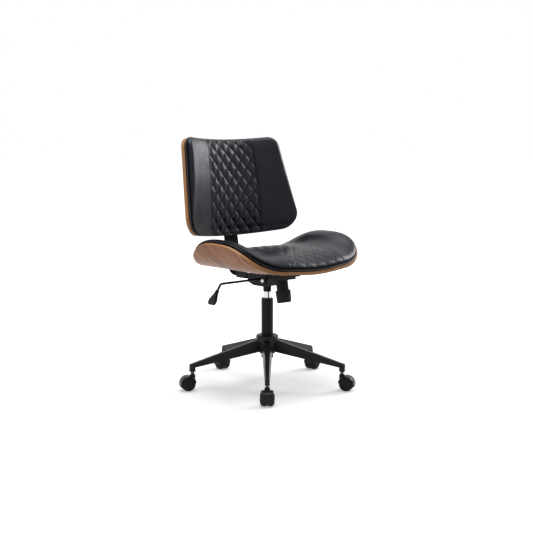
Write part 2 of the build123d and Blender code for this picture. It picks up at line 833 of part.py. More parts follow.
with BuildPart() as seat_bolts:
    with BuildSketch(Plane.XY.offset(plate_under_z - seat_bolt_head_t)):
        with Locations((0, seat_bolt_y)):
            with GridLocations(*seat_bolt_spacing, 2, 2):
                RegularPolygon(seat_bolt_head_d / 2, 6)
    extrude(amount=seat_bolt_head_t)
    with BuildSketch(Plane.XY.offset(plate_under_z)):
        with Locations((0, seat_bolt_y)):
            with GridLocations(*seat_bolt_spacing, 2, 2):
                Circle(seat_bolt_d / 2)
    extrude(amount=plate_t + ply_t - seat_bolt_cover)
write(seat_bolts, "seat_bolts")

# Seat cushion: crowned pad in three sewn panels, lofted from front to rear on the shell

def crown(share, edge, full):
    """Padding height that swells from the edge to the middle."""
    return edge + (full - edge) * (1 - share * share)


with BuildPart() as seat_cushion:
    for share in seat_stations:
        station_y = seat_centre_y + share * (seat_half_depth - seat_inset)
        half = seat_half(station_y, seat_inset)
        padding = crown(share, seat_edge_t, seat_crown)
        seam_top = padding - seat_seam_dip
        side_top = crown(share, seat_edge_t / 2, seat_edge_t)
        with BuildSketch(Plane.XZ.offset(-station_y)):
            with BuildLine():
                Line(seat_spot(-seat_flat, seat_pad_gap), seat_spot(seat_flat, seat_pad_gap))
                for sign in (1, -1):
                    panel_mid = (half + seat_seam) / 2
                    panel_top = (side_top + padding) / 2
                    ThreePointArc(
                        seat_spot(sign * seat_flat, seat_pad_gap),
                        seat_spot(sign * (seat_flat + half) / 2, seat_pad_gap),
                        seat_spot(sign * half, seat_pad_gap),
                    )
                    ThreePointArc(
                        seat_spot(sign * half, seat_pad_gap),
                        seat_spot(sign * (half + soft_gap), side_top / 2),
                        seat_spot(sign * (half - side_top / 4), side_top),
                    )
                    ThreePointArc(
                        seat_spot(sign * (half - side_top / 4), side_top),
                        seat_spot(sign * panel_mid, panel_top),
                        seat_spot(sign * seat_seam, seam_top),
                    )
                ThreePointArc(
                    seat_spot(seat_seam, seam_top),
                    seat_spot(0, padding),
                    seat_spot(-seat_seam, seam_top),
                )
            make_face()
    loft()
write(seat_cushion, "seat_cushion")

# Back: local plane at the panel's foot, looking up along the lean: across, then backwards
back_tilt = radians(back_lean)
back_up = Vector(0, sin(back_tilt), cos(back_tilt))
back_foot = Vector(0, back_foot_y, back_foot_z)
back_plane = Plane(back_foot, (1, 0, 0), back_up)
back_face = Plane(back_foot, (1, 0, 0), Vector(1, 0, 0).cross(back_up))


def back_spot(across, forward):
    """Section point straight across by this much and this far in front of the shell's face."""
    radius = back_bend_r - forward
    bent = asin(across / back_bend_r)
    return (radius * sin(bent), radius * cos(bent) - back_bend_r)


def back_half(up, inset):
    """Half width of the back outline at one height, with its rounded corners, drawn in."""
    slope = (back_foot_half - back_top_half) / back_height
    side = back_foot_half - slope * up - inset
    ends = ((back_foot_round, up - inset - back_foot_bow), (back_top_round, back_height - inset - up))
    for corner, away in ends:
        if away < corner:
            side -= corner - sqrt(max(corner**2 - (corner - away) ** 2, 0))
    return side


with BuildPart() as back_shell:
    with BuildSketch(back_plane):
        with BuildLine():
            for depth in (0, -ply_t):
                ThreePointArc(
                    back_spot(-back_foot_half, depth),
                    back_spot(0, depth),
                    back_spot(back_foot_half, depth),
                )
            for sign in (-1, 1):
                Line(back_spot(sign * back_foot_half, 0), back_spot(sign * back_foot_half, -ply_t))
        make_face()
    extrude(amount=back_height)
    with BuildSketch(back_face) as back_outline:
        with BuildLine():
            foot_left, foot_right = [(sign * back_foot_half, back_foot_bow) for sign in (-1, 1)]
            top_left, top_right = [(sign * back_top_half, back_height) for sign in (-1, 1)]
            ThreePointArc(foot_left, (0, 0), foot_right)
            Line(foot_right, top_right)
            ThreePointArc(top_right, (0, back_height - back_top_dip), top_left)
            Line(top_left, foot_left)
        make_face()
        corners = back_outline.vertices().group_by(Axis.Y)
        fillet(corners[0], back_foot_round)
        fillet(back_outline.vertices().group_by(Axis.Y)[-1], back_top_round)
    extrude(amount=back_bend_r / 2, both=True, mode=Mode.INTERSECT)
    with BuildSketch(back_face.offset(-ply_t)):
        with Locations((0, back_bolt_up)):
            with GridLocations(*back_bolt_spacing, 2, 2):
                Circle(back_bolt_d / 2)
    extrude(amount=ply_t - back_bolt_cover, mode=Mode.SUBTRACT)
write(back_shell, "back_shell")

with BuildPart() as back_cushion:
    for share in back_stations:
        up = share * back_height
        half = back_half(up, back_inset)
        swell = 2 * share - 1
        padding = crown(swell, back_edge_t, back_crown)
        side_top = crown(swell, back_edge_t / 2, back_edge_t)
        seam = back_seam[0] + (back_seam[1] - back_seam[0]) * share
        seam_top = padding - back_seam_dip
        with BuildSketch(back_plane.offset(up)):
            with BuildLine():
                ThreePointArc(
                    back_spot(-half, soft_gap), back_spot(0, soft_gap), back_spot(half, soft_gap)
                )
                for sign in (1, -1):
                    ThreePointArc(
                        back_spot(sign * half, soft_gap),
                        back_spot(sign * (half + soft_gap), side_top / 2),
                        back_spot(sign * (half - side_top / 4), side_top),
                    )
                    ThreePointArc(
                        back_spot(sign * (half - side_top / 4), side_top),
                        back_spot(sign * (half + seam) / 2, (side_top + padding) / 2),
                        back_spot(sign * seam, seam_top),
                    )
                ThreePointArc(back_spot(seam, seam_top), back_spot(0, padding), back_spot(-seam, seam_top))
            make_face()
    loft()
write(back_cushion, "back_cushion")

# Back bar: flat steel strip from the seat plate's rear channel, bent up behind the back shell
bar_mid = ply_t + bar_t / 2
bar_low_up = (bar_leg_z - back_foot_z + bar_mid * sin(back_tilt)) / cos(back_tilt)


def bar_place(up):
    """Point (y, z) on the bar's middle line behind the back panel at this height along it."""
    y = back_foot_y + bar_mid * cos(back_tilt) + up * sin(back_tilt)
    return (y, back_foot_z - bar_mid * sin(back_tilt) + up * cos(back_tilt))


with BuildPart() as back_bar:
    with BuildSketch(Plane.YZ):
        with BuildLine():
            FilletPolyline(
                (bar_front_y, bar_leg_z), bar_place(bar_low_up), bar_place(bar_top_up), radius=bar_bend_r
            )
        trace(line_width=bar_t)
    extrude(amount=bar_w / 2, both=True)
    with BuildSketch(Plane.XY.offset(bar_leg_z - bar_t)):
        with Locations(*[(0, place) for place in bar_bolt_y]):
            Circle(bar_bolt_d / 2)
    extrude(amount=2 * bar_t, mode=Mode.SUBTRACT)
    with BuildSketch(back_face.offset(-ply_t)):
        with Locations((0, back_bolt_up)):
            with GridLocations(*back_bolt_spacing, 2, 2):
                Circle(back_bolt_d / 2)
    extrude(amount=-2 * bar_t, mode=Mode.SUBTRACT)
write(back_bar, "back_bar")

with BuildPart() as bar_bolts:
    with BuildSketch(Plane.XY.offset(bracket_low_z)):
        with Locations(*[(0, place) for place in bar_bolt_y]):
            RegularPolygon(bar_bolt_head_d / 2, 6)
    extrude(amount=-bar_bolt_head_t)
    with BuildSketch(Plane.XY.offset(bracket_low_z)):
        with Locations(*[(0, place) for place in bar_bolt_y]):
            Circle(bar_bolt_d / 2)
    extrude(amount=plate_t + bar_t)
    with BuildSketch(Plane.XY.offset(bar_leg_z + bar_t / 2)):
        with Locations(*[(0, place) for place in bar_bolt_y]):
            RegularPolygon(bar_bolt_head_d / 2, 6)
    extrude(amount=bar_bolt_head_t)
write(bar_bolts, "bar_bolts")

with BuildPart() as back_bolts:
    with BuildSketch(back_face.offset(-ply_t - bar_t)):
        with Locations((0, back_bolt_up)):
            with GridLocations(*back_bolt_spacing, 2, 2):
                RegularPolygon(back_bolt_head_d / 2, 6)
    extrude(amount=-back_bolt_head_t)
    with BuildSketch(back_face.offset(-ply_t - bar_t)):
        with Locations((0, back_bolt_up)):
            with GridLocations(*back_bolt_spacing, 2, 2):
                Circle(back_bolt_d / 2)
    extrude(amount=bar_t + ply_t - back_bolt_cover)
write(back_bolts, "back_bolts")
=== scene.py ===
import bmesh
import bpy
import numpy as np
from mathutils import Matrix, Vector


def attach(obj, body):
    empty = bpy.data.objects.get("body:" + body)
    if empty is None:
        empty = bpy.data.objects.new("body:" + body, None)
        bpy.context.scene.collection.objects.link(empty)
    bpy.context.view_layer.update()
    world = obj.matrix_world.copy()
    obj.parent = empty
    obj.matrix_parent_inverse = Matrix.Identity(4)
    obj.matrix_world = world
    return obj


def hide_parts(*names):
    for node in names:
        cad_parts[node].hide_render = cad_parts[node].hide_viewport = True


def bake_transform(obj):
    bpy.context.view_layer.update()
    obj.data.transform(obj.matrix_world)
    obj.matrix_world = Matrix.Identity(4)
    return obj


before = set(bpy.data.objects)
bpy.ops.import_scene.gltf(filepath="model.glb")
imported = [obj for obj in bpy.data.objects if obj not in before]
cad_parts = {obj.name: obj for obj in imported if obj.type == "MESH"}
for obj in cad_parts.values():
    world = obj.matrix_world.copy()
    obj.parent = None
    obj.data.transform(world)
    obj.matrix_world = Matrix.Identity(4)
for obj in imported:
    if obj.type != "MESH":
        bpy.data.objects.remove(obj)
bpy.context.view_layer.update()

# Star base: five tapered legs on one hub, moulded in black glass-filled nylon with a fine
# spark-eroded texture. The drop end of each leg takes a castor stem.


def new_finish(name):
    """A fresh node material, with its nodes, a wiring function and the shader it ends in."""
    material = bpy.data.materials.new(name)
    material.use_nodes = True
    tree = material.node_tree
    return material, tree.nodes, tree.links.new, tree.nodes["Principled BSDF"]


def mottled(name, dark, light, rough, grain, relief, gloss=0.5):
    """Moulded or coated surface on object coordinates: a slow noise moves the colour between dark
    and light and the roughness over its range, and a fine noise of this grain size gives relief."""
    material, nodes, wire, shader = new_finish(name)
    place = nodes.new("ShaderNodeTexCoord")
    slow = nodes.new("ShaderNodeTexNoise")
    slow.inputs["Scale"].default_value = 38.0
    slow.inputs["Detail"].default_value = 4.0
    wire(place.outputs["Object"], slow.inputs["Vector"])
    tint = nodes.new("ShaderNodeValToRGB")
    tint.color_ramp.elements[0].position = 0.35
    tint.color_ramp.elements[0].color = (*dark, 1)
    tint.color_ramp.elements[1].position = 0.7
    tint.color_ramp.elements[1].color = (*light, 1)
    wire(slow.outputs["Fac"], tint.inputs["Fac"])
    wire(tint.outputs["Color"], shader.inputs["Base Color"])
    polish = nodes.new("ShaderNodeMapRange")
    polish.inputs["From Min"].default_value = 0.3
    polish.inputs["From Max"].default_value = 0.7
    polish.inputs["To Min"].default_value = rough[0]
    polish.inputs["To Max"].default_value = rough[1]
    wire(slow.outputs["Fac"], polish.inputs["Value"])
    wire(polish.outputs["Result"], shader.inputs["Roughness"])
    fine = nodes.new("ShaderNodeTexNoise")
    fine.inputs["Scale"].default_value = 1.0 / grain
    fine.inputs["Detail"].default_value = 2.0
    wire(place.outputs["Object"], fine.inputs["Vector"])
    bump = nodes.new("ShaderNodeBump")
    bump.inputs["Strength"].default_value = 0.5
    bump.inputs["Distance"].default_value = relief
    wire(fine.outputs["Fac"], bump.inputs["Height"])
    wire(bump.outputs["Normal"], shader.inputs["Normal"])
    shader.inputs["Specular IOR Level"].default_value = gloss
    shader.inputs["Specular Tint"].default_value = (0.9, 0.9, 1.0, 1)
    return material


def dress(node, material):
    """Give one node of the frame its finish."""
    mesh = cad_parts[node].data
    mesh.materials.clear()
    mesh.materials.append(material)


base_nylon = mottled(
    "base_nylon", (0.006, 0.006, 0.0072), (0.0105, 0.0105, 0.012), (0.3, 0.42), 0.0011, 0.0001, 0.2
)
dress("base_star", base_nylon)

# Castors: hooded twin-wheel castors with a blackened steel stem and axle. The hood is one smooth moulding,
# a barrel shell over the wheels on a web in the middle, and the two nylon wheels have rounded shoulders.
castor_count = 5
first_leg = 228.0
castor_radius = 270.0
castor_trail = 17.0
axle_up = 25.0
wheel_round = 25.0
wheel_faces = (4.5, 24.5)
wheel_lip, wheel_edge = 0.8, 0.6
wheel_power = 0.55
wheel_steps = 72
ring_groove = (18.5, 0.9, 0.9)
bore, bore_end = 3.4, 22.4
hood_round, hood_wall, hood_long, hood_side = 28.7, 1.8, 27.5, 21.0
hood_power = 3.6
hood_lips = (-19.5, 172.0)
hood_rows, web_rows, shell_steps = 49, 41, 12
web_round, web_side = 23.8, 4.2
web_shoulder = (0.5, 5.0)
boss_round, boss_top, boss_foot_round = 9.5, 57.0, 27.6639
boss_profile = np.array([[9.5, 1.2], [9.1, 0.3], [8.3, 0.0], [5.6, 0.0], [5.6, 7.0], [0.0, 7.0]])
boss_sides = 40


def skin(name, points, wrap_rows=False, wrap_columns=True, layers=None):
    """Mesh object from a grid of points in millimetres: rows by columns of quads, closed round the
    columns or rows where asked, with per-point layers (two-column ones as a UV map). Poles are joined."""
    rows, columns = points.shape[:2]
    mesh = bpy.data.meshes.new(name)
    index = np.arange(rows * columns).reshape(rows, columns)
    if wrap_rows:
        index = np.vstack([index, index[:1]])
    if wrap_columns:
        index = np.hstack([index, index[:, :1]])
    quads = np.stack([index[:-1, :-1], index[:-1, 1:], index[1:, 1:], index[1:, :-1]], -1).reshape(-1, 4)
    mesh.from_pydata(points.reshape(-1, 3) * 0.001, [], quads)
    for layer, values in (layers or {}).items():
        flat = values.reshape(rows * columns, -1)
        if flat.shape[1] == 2:
            corner = np.empty(len(mesh.loops), dtype=np.int64)
            mesh.loops.foreach_get("vertex_index", corner)
            mesh.uv_layers.new(name=layer).data.foreach_set("uv", flat[corner].astype(np.float32).ravel())
        else:
            point_layer = mesh.attributes.new(layer, "FLOAT", "POINT")
            point_layer.data.foreach_set("value", flat.astype(np.float32).ravel())
    joined = bmesh.new()
    joined.from_mesh(mesh)
    bmesh.ops.remove_doubles(joined, verts=joined.verts, dist=1e-6)
    joined.to_mesh(mesh)
    joined.free()
    mesh.shade_smooth()
    thing = bpy.data.objects.new(name, mesh)
    bpy.context.collection.objects.link(thing)
    return thing


def castor_spot(number, across, out, up):
    """Point of one castor in the frame, from its place across the wheels, out along its leg from the axle
    and up from the axle."""
    leg = np.radians(first_leg + 360.0 / castor_count * (number - 1))
    along = castor_radius + castor_trail + out
    across, along, up = np.broadcast_arrays(across, along, up)
    east = along * np.cos(leg) + across * np.sin(leg)
    north = along * np.sin(leg) - across * np.cos(leg)
    return np.stack([east, north, axle_up + up], -1)


def wheel_section():
    """Half section of a wheel, as places along the axle and radii: blind bore, flat inner face, then a
    superellipse from the tread to the axle line with a fine ring groove."""
    turn = np.linspace(0, np.pi / 2, wheel_steps)
    inner, outer = wheel_faces
    radius = wheel_round * np.cos(turn) ** wheel_power
    across = inner + wheel_lip + (outer - inner - wheel_lip) * np.sin(turn) ** wheel_power
    groove_at, groove_wide, groove_deep = ring_groove
    across = across - groove_deep * np.exp(-(((radius - groove_at) / groove_wide) ** 2))
    bored = np.array([[bore_end, 0.0], [bore_end, bore], [inner, bore], [inner, wheel_round - wheel_edge]])
    return np.vstack([bored, np.stack([across, radius], -1)])


def hood_section(covered):
    """Section of a hood at one angle, as places along the axle and radii: over the shell, on a
    superellipse, or only over the web, then down one side of the web to the bore, and the same mirrored."""
    step = np.linspace(0, 1, shell_steps)
    if covered:
        across = hood_side * step
        radius = hood_round * (1 - (across / hood_long) ** hood_power) ** (1 / hood_power)
        outer = np.stack([across, radius], -1)
        inner = outer[:1:-1] - (0, hood_wall)
    else:
        outer = np.stack([web_side * step, np.full(shell_steps, web_round)], -1)
        down = np.linspace(*web_shoulder, shell_steps - 2)
        inner = np.stack([np.full(shell_steps - 2, web_side), web_round - down], -1)
    web = np.stack([np.full(3, web_side), np.linspace(inner[-1, 1] - 0.2, bore, 3)], -1)
    half = np.vstack([outer, inner, web])
    return np.vstack([half, half[:0:-1] * (-1, 1)])


def boss_grid():
    """Stem boss on the hood, as places across, out and up: a short turned post with a blind hole, from the
    radius of each step and its depth under the top. Its foot follows a circle inside the hood's."""
    turn = np.linspace(0, 2 * np.pi, boss_sides, endpoint=False)[:, None]
    radius = np.concatenate([[0.0, boss_round], boss_profile[:, 0]])
    out = radius * np.cos(turn) - castor_trail
    foot = np.sqrt(boss_foot_round**2 - out[:, :2] ** 2)
    top = boss_top - axle_up - boss_profile[:, 1]
    up = np.hstack([foot, np.broadcast_to(top, (boss_sides, len(top)))])
    return radius * np.sin(turn), out, up


lip_low, lip_high = hood_lips
hood_turn = np.radians(np.concatenate([
    np.linspace(lip_low, lip_high, hood_rows), np.linspace(lip_high, lip_low + 360, web_rows),
]))[:, None]
sections = np.array([hood_section(row < hood_rows) for row in range(hood_rows + web_rows)])
hood_across, hood_reach = np.moveaxis(sections, -1, 0)
wheel_across, wheel_reach = wheel_section().T
wheel_turn = np.linspace(0, 2 * np.pi, wheel_steps, endpoint=False)[:, None]
hood_black = mottled(
    "hood_black", (0.0065, 0.0065, 0.0075), (0.011, 0.011, 0.0125), (0.24, 0.34), 0.0016, 0.00005, 0.2
)
wheel_black = mottled(
    "wheel_black", (0.008, 0.008, 0.009), (0.014, 0.014, 0.0155), (0.38, 0.55), 0.0009, 0.0001, 0.12
)
black_zinc = mottled(
    "black_zinc", (0.014, 0.014, 0.015), (0.024, 0.024, 0.026), (0.26, 0.38), 0.0012, 0.00004
)
for number in range(1, castor_count + 1):
    dress(f"castor_{number}_stem", black_zinc)
    dress(f"castor_{number}_axle", black_zinc)
    barrel = castor_spot(number, hood_across, hood_reach * np.cos(hood_turn), hood_reach * np.sin(hood_turn))
    hood = skin(f"castor_{number}_barrel", barrel[::-1], wrap_rows=True)
    post = castor_spot(number, *boss_grid())
    boss = skin(f"castor_{number}_boss", post, wrap_rows=True, wrap_columns=False)
    for moulding in (hood, boss):
        moulding.data.materials.append(hood_black)
        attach(moulding, f"castor_{number}")
        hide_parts(f"castor_{number}_hood")
    for side, way in (("left", 1), ("right", -1)):
        turn = way * wheel_turn
        tyre = castor_spot(number, way * wheel_across, wheel_reach * np.cos(turn), wheel_reach * np.sin(turn))
        wheel = skin(f"castor_{number}_tyre_{side}", tyre[::-1], wrap_rows=True, wrap_columns=False)
        wheel.data.materials.append(wheel_black)
        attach(wheel, f"wheel_{number}_{side}")
        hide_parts(f"castor_{number}_wheel_{side}")

# Column: black powder-coated tube with a nylon guide bush at its mouth, and the rod, bearing and
# clip that carry the gas cylinder inside it, which are zinc plated.
powder = mottled(
    "powder_coat", (0.006, 0.006, 0.007), (0.01, 0.01, 0.0115), (0.36, 0.46), 0.0007, 0.00009, 0.1
)
zinc = mottled("zinc", (0.42, 0.42, 0.43), (0.58, 0.58, 0.6), (0.22, 0.36), 0.0012, 0.00004)
zinc.node_tree.nodes["Principled BSDF"].inputs["Metallic"].default_value = 1.0
dress("column_tube", powder)
dress("guide_bush", base_nylon)
for node in ("thrust_bearing", "piston_rod", "rod_clip"):
    dress(node, zinc)

# Gas cylinder: polished chrome that slides in the bush, held by its taper in a black steel socket
# under the housing, with a small valve button on top.
chrome, nodes, wire, shader = new_finish("chrome")
shader.inputs["Metallic"].default_value = 1.0
place = nodes.new("ShaderNodeTexCoord")
haze = nodes.new("ShaderNodeTexNoise")
haze.inputs["Scale"].default_value = 60.0
wire(place.outputs["Object"], haze.inputs["Vector"])
haze_rough = nodes.new("ShaderNodeMapRange")
haze_rough.inputs["To Min"].default_value = 0.06
haze_rough.inputs["To Max"].default_value = 0.16
wire(haze.outputs["Fac"], haze_rough.inputs["Value"])
wire(haze_rough.outputs["Result"], shader.inputs["Roughness"])
haze_tint = nodes.new("ShaderNodeValToRGB")
haze_tint.color_ramp.elements[0].color = (0.4, 0.405, 0.42, 1)
haze_tint.color_ramp.elements[1].color = (0.52, 0.525, 0.54, 1)
wire(haze.outputs["Fac"], haze_tint.inputs["Fac"])
wire(haze_tint.outputs["Color"], shader.inputs["Base Color"])
dress("gas_cylinder", chrome)
dress("valve_button", zinc)
dress("taper_socket", powder)

# Tilt mechanism: pressed and welded black steel housing and seat plate on a bright pivot bolt, with
# the spring tube, coil spring and the ribbed nylon tension knob under its front.
for node in ("tilt_housing", "seat_plate", "spring_tube"):
    dress(node, powder)
for node in ("pivot_bolt", "pivot_nut", "tension_bolt", "spring_cup", "seat_bolts", "bar_bolts"):
    dress(node, zinc)
dress("tension_knob", wheel_black)
spring_top = np.array([0.0, -73.0, 382.0])
spring_lean = np.radians(10.5)
spring_down = -np.array([0, np.sin(spring_lean), np.cos(spring_lean)])
spring_ends = (8.485, 44.45)
spring_turns, coil_round, wire_round = 4, 14.75, 2.2
coil_steps, wire_sides = 240, 12


def coil(name):
    """Open coil round the leaning bolt: a circle of wire carried along a helix, drawn to a point at both
    ends."""
    turned = np.linspace(0, 1, coil_steps)
    angle = 2 * np.pi * spring_turns * turned[:, None, None]
    radial = np.cos(angle) * np.array([1.0, 0, 0]) + np.sin(angle) * np.cross(spring_down, [1.0, 0, 0])
    down = np.interp(turned, (0, 1), spring_ends)[:, None, None]
    path = spring_top + down * spring_down + coil_round * radial
    round_wire = np.linspace(0, 2 * np.pi, wire_sides, endpoint=False)[None, :, None]
    thick = wire_round * np.where((turned > 0) & (turned < 1), 1.0, 0.0)[:, None, None]
    return skin(name, path + thick * (np.cos(round_wire) * radial - np.sin(round_wire) * spring_down))


tilt_spring = coil("tilt_spring_coil")
tilt_spring.data.materials.append(zinc)
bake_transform(tilt_spring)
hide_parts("tilt_spring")

# Height lever: bent, powder-coated steel rod in a nylon bush, which rocks on a zinc-plated cross pin in
# the housing. A flat moulded paddle is pushed on its outer end.
dress("lever_rod", powder)
dress("lever_bush", base_nylon)
dress("lever_pin", zinc)
dress("lever_paddle", hood_black)

# Seat shell: seven-layer bent plywood faced with walnut veneer, its grain running across the seat
# and round the wings. The edge is sanded round and shows the layers.
seat_top = 432.0
ply = 12.0
seat_flat = 140.0
wing_radius = 134.0
seat_half_girth = 305.0
seat_half_depth = 210.0
seat_centre = -40.0
seat_fullness = (2.85, 2.4)
bow_mean, bow_swing, bow_half, bow_end = 1.0, 4.5, 170.0, 90.0
bow_from, bow_run = -130.0, 110.0
outline_steps, face_rows, edge_rows = 320, 26, 11
board_corner, edge_margin = 1.6, 0.2


def seat_spot(girth, depth, height):
    """Point over the seat sheet: flat to the bend line, then round an arc that rises outwards, and bowed a
    few millimetres by a cosine along the front. Girth is measured along the sheet, height square to it."""
    waved = bow_mean - bow_swing * np.cos(np.pi * girth / bow_half)
    past = np.clip((np.abs(girth) - bow_half) / bow_end, 0, 1)
    bow = np.where(np.abs(girth) < bow_half, waved, (bow_mean + bow_swing) * np.cos(past * np.pi / 2))
    front = np.clip((bow_from - depth) / bow_run, 0, 1)
    bent = np.maximum(np.abs(girth) - seat_flat, 0) / wing_radius
    across = np.minimum(np.abs(girth), seat_flat) + (wing_radius - height) * np.sin(bent)
    up = seat_top + wing_radius - (wing_radius - height) * np.cos(bent)
    up = up + bow * front**2 * (3 - 2 * front)
    return np.stack(np.broadcast_arrays(np.sign(girth) * across, depth, up), -1)


def even_loop(loop, count):
    """The closed loop of points, spaced evenly along its length."""
    closed = np.vstack([loop, loop[:1]])
    run = np.concatenate([[0], np.cumsum(np.linalg.norm(np.diff(closed, axis=0), axis=1))])
    at = np.linspace(0, run[-1], count, endpoint=False)
    return np.stack([np.interp(at, run, closed[:, k]) for k in range(closed.shape[1])], -1)


def seat_loop(half_girth, half_depth, count):
    """Edge of the seat on the flat sheet: a superellipse, fuller in front than behind."""
    turn = np.linspace(0, 2 * np.pi, 6000, endpoint=False)
    power = 2 / np.where(np.sin(turn) < 0, *seat_fullness)
    girth = half_girth * np.sign(np.cos(turn)) * np.abs(np.cos(turn)) ** power
    depth = half_depth * np.sign(np.sin(turn)) * np.abs(np.sin(turn)) ** power
    return even_loop(np.stack([girth, depth], -1), count)


def sheet_rows(corner):
    """Inset and height of each ring of a board: from the middle of the top face out to the edge,
    round its two sanded corners and back to the middle underneath. Inset is a share of the way
    in on the faces, and millimetres on the edge."""
    share = np.concatenate([np.linspace(1, 0, face_rows), np.zeros(edge_rows), np.linspace(0, 1, face_rows)])
    turn = np.linspace(0, np.pi, edge_rows)
    round_in = corner * (1 - np.sin(turn) ** 0.5)
    drop = np.where(turn < np.pi / 2, corner * (1 - np.cos(turn)), ply - corner * (1 + np.cos(turn)))
    inset = np.concatenate([np.full(face_rows, corner), round_in, np.full(face_rows, corner)])
    height = -np.concatenate([np.zeros(face_rows), drop, np.full(face_rows, ply)])
    return share, inset, height


def board(name, spot, loop, middle, grain):
    """Bent board: rings of its outline, drawn in towards the middle over and under, put in place by the
    sheet's own function. The flat place, in the grain's order, the cut edge and the layer lie on it."""
    share, inset, height = sheet_rows(board_corner)
    arm = loop - middle
    reach = np.linalg.norm(arm, axis=1)
    spread = (1 - share[:, None]) * (1 - inset[:, None] / reach)
    flat = middle + spread[..., None] * arm
    rise = np.broadcast_to(height[:, None], spread.shape)
    on_edge = (share[:, None] == 0) & (rise < -edge_margin) & (rise > edge_margin - ply)
    return skin(name, spot(flat[..., 0], flat[..., 1], rise)[::-1], layers={
        "sheet": flat[::-1][..., grain] * 0.001,
        "cut_edge": on_edge[::-1].astype(float),
        "layer": (-rise / ply)[::-1],
    })


seat_middle = np.array([0.0, seat_centre])
outline = seat_middle + seat_loop(seat_half_girth, seat_half_depth, outline_steps)
seat_shell = board("seat_shell_walnut", seat_spot, outline, seat_middle, [0, 1])


def walnut(name, turn):
    """Walnut veneer on the sheet's own coordinates: noise stretched along the grain, bent by a slow
    noise into long waves, with fine dark pores. The cut edge shows stripes of paler layers."""
    material, nodes, wire, shader = new_finish(name)
    sheet = nodes.new("ShaderNodeUVMap")
    sheet.uv_map = "sheet"
    along = nodes.new("ShaderNodeMapping")
    along.inputs["Rotation"].default_value = (0, 0, turn)
    wire(sheet.outputs["UV"], along.inputs["Vector"])
    sway = nodes.new("ShaderNodeTexNoise")
    sway.inputs["Scale"].default_value = 5.0
    sway.inputs["Detail"].default_value = 2.0
    wire(along.outputs["Vector"], sway.inputs["Vector"])
    lean = nodes.new("ShaderNodeVectorMath")
    lean.operation = "MULTIPLY_ADD"
    lean.inputs[1].default_value = (0.0, 0.06, 0.0)
    wire(sway.outputs["Color"], lean.inputs[0])
    wire(along.outputs["Vector"], lean.inputs[2])
    stretch = nodes.new("ShaderNodeMapping")
    stretch.inputs["Scale"].default_value = (3.0, 42.0, 1.0)
    wire(lean.outputs["Vector"], stretch.inputs["Vector"])
    figure = nodes.new("ShaderNodeTexNoise")
    figure.inputs["Scale"].default_value = 1.0
    figure.inputs["Detail"].default_value = 6.0
    figure.inputs["Roughness"].default_value = 0.62
    wire(stretch.outputs["Vector"], figure.inputs["Vector"])
    tone = nodes.new("ShaderNodeValToRGB")
    ramp = tone.color_ramp
    ramp.elements[0].position = 0.33
    ramp.elements[0].color = (0.1, 0.037, 0.016, 1)
    ramp.elements[1].position = 0.7
    ramp.elements[1].color = (0.39, 0.182, 0.092, 1)
    middle = ramp.elements.new(0.47)
    middle.color = (0.27, 0.113, 0.053, 1)
    wire(figure.outputs["Fac"], tone.inputs["Fac"])
    pores_at = nodes.new("ShaderNodeMapping")
    pores_at.inputs["Scale"].default_value = (40.0, 900.0, 1.0)
    wire(lean.outputs["Vector"], pores_at.inputs["Vector"])
    pores = nodes.new("ShaderNodeTexNoise")
    pores.inputs["Scale"].default_value = 1.0
    pores.inputs["Detail"].default_value = 2.0
    wire(pores_at.outputs["Vector"], pores.inputs["Vector"])
    pore_dark = nodes.new("ShaderNodeMapRange")
    pore_dark.inputs["From Min"].default_value = 0.34
    pore_dark.inputs["From Max"].default_value = 0.52
    pore_dark.inputs["To Min"].default_value = 0.55
    pore_dark.inputs["To Max"].default_value = 1.0
    wire(pores.outputs["Fac"], pore_dark.inputs["Value"])
    veneer = nodes.new("ShaderNodeVectorMath")
    veneer.operation = "SCALE"
    wire(tone.outputs["Color"], veneer.inputs[0])
    wire(pore_dark.outputs["Result"], veneer.inputs["Scale"])
    depth_in = nodes.new("ShaderNodeAttribute")
    depth_in.attribute_name = "layer"
    stripes = nodes.new("ShaderNodeValToRGB")
    stripes.color_ramp.interpolation = "B_SPLINE"
    stripe = stripes.color_ramp.elements
    stripe[0].position = 0.0
    stripe[0].color = (0.24, 0.115, 0.06, 1)
    stripe[1].position = 1.0
    stripe[1].color = (0.22, 0.105, 0.055, 1)
    for number in range(1, 7):
        band = stripe.new(number / 7)
        band.color = (0.46, 0.235, 0.1, 1) if number % 2 else (0.33, 0.155, 0.066, 1)
    wire(depth_in.outputs["Fac"], stripes.inputs["Fac"])
    is_cut = nodes.new("ShaderNodeAttribute")
    is_cut.attribute_name = "cut_edge"
    colour = nodes.new("ShaderNodeMix")
    colour.data_type = "RGBA"
    wire(is_cut.outputs["Fac"], colour.inputs["Factor"])
    wire(veneer.outputs["Vector"], colour.inputs["A"])
    wire(stripes.outputs["Color"], colour.inputs["B"])
    wire(colour.outputs["Result"], shader.inputs["Base Color"])
    satin = nodes.new("ShaderNodeMapRange")
    satin.inputs["To Min"].default_value = 0.5
    satin.inputs["To Max"].default_value = 0.34
    wire(figure.outputs["Fac"], satin.inputs["Value"])
    wire(satin.outputs["Result"], shader.inputs["Roughness"])
    bump = nodes.new("ShaderNodeBump")
    bump.inputs["Strength"].default_value = 0.35
    bump.inputs["Distance"].default_value = 0.0002
    wire(pores.outputs["Fac"], bump.inputs["Height"])
    wire(bump.outputs["Normal"], shader.inputs["Normal"])
    shader.inputs["Specular IOR Level"].default_value = 0.15
    return material


seat_shell.data.materials.append(walnut("seat_walnut", 0.32))
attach(seat_shell, "seat")
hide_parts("seat_shell")

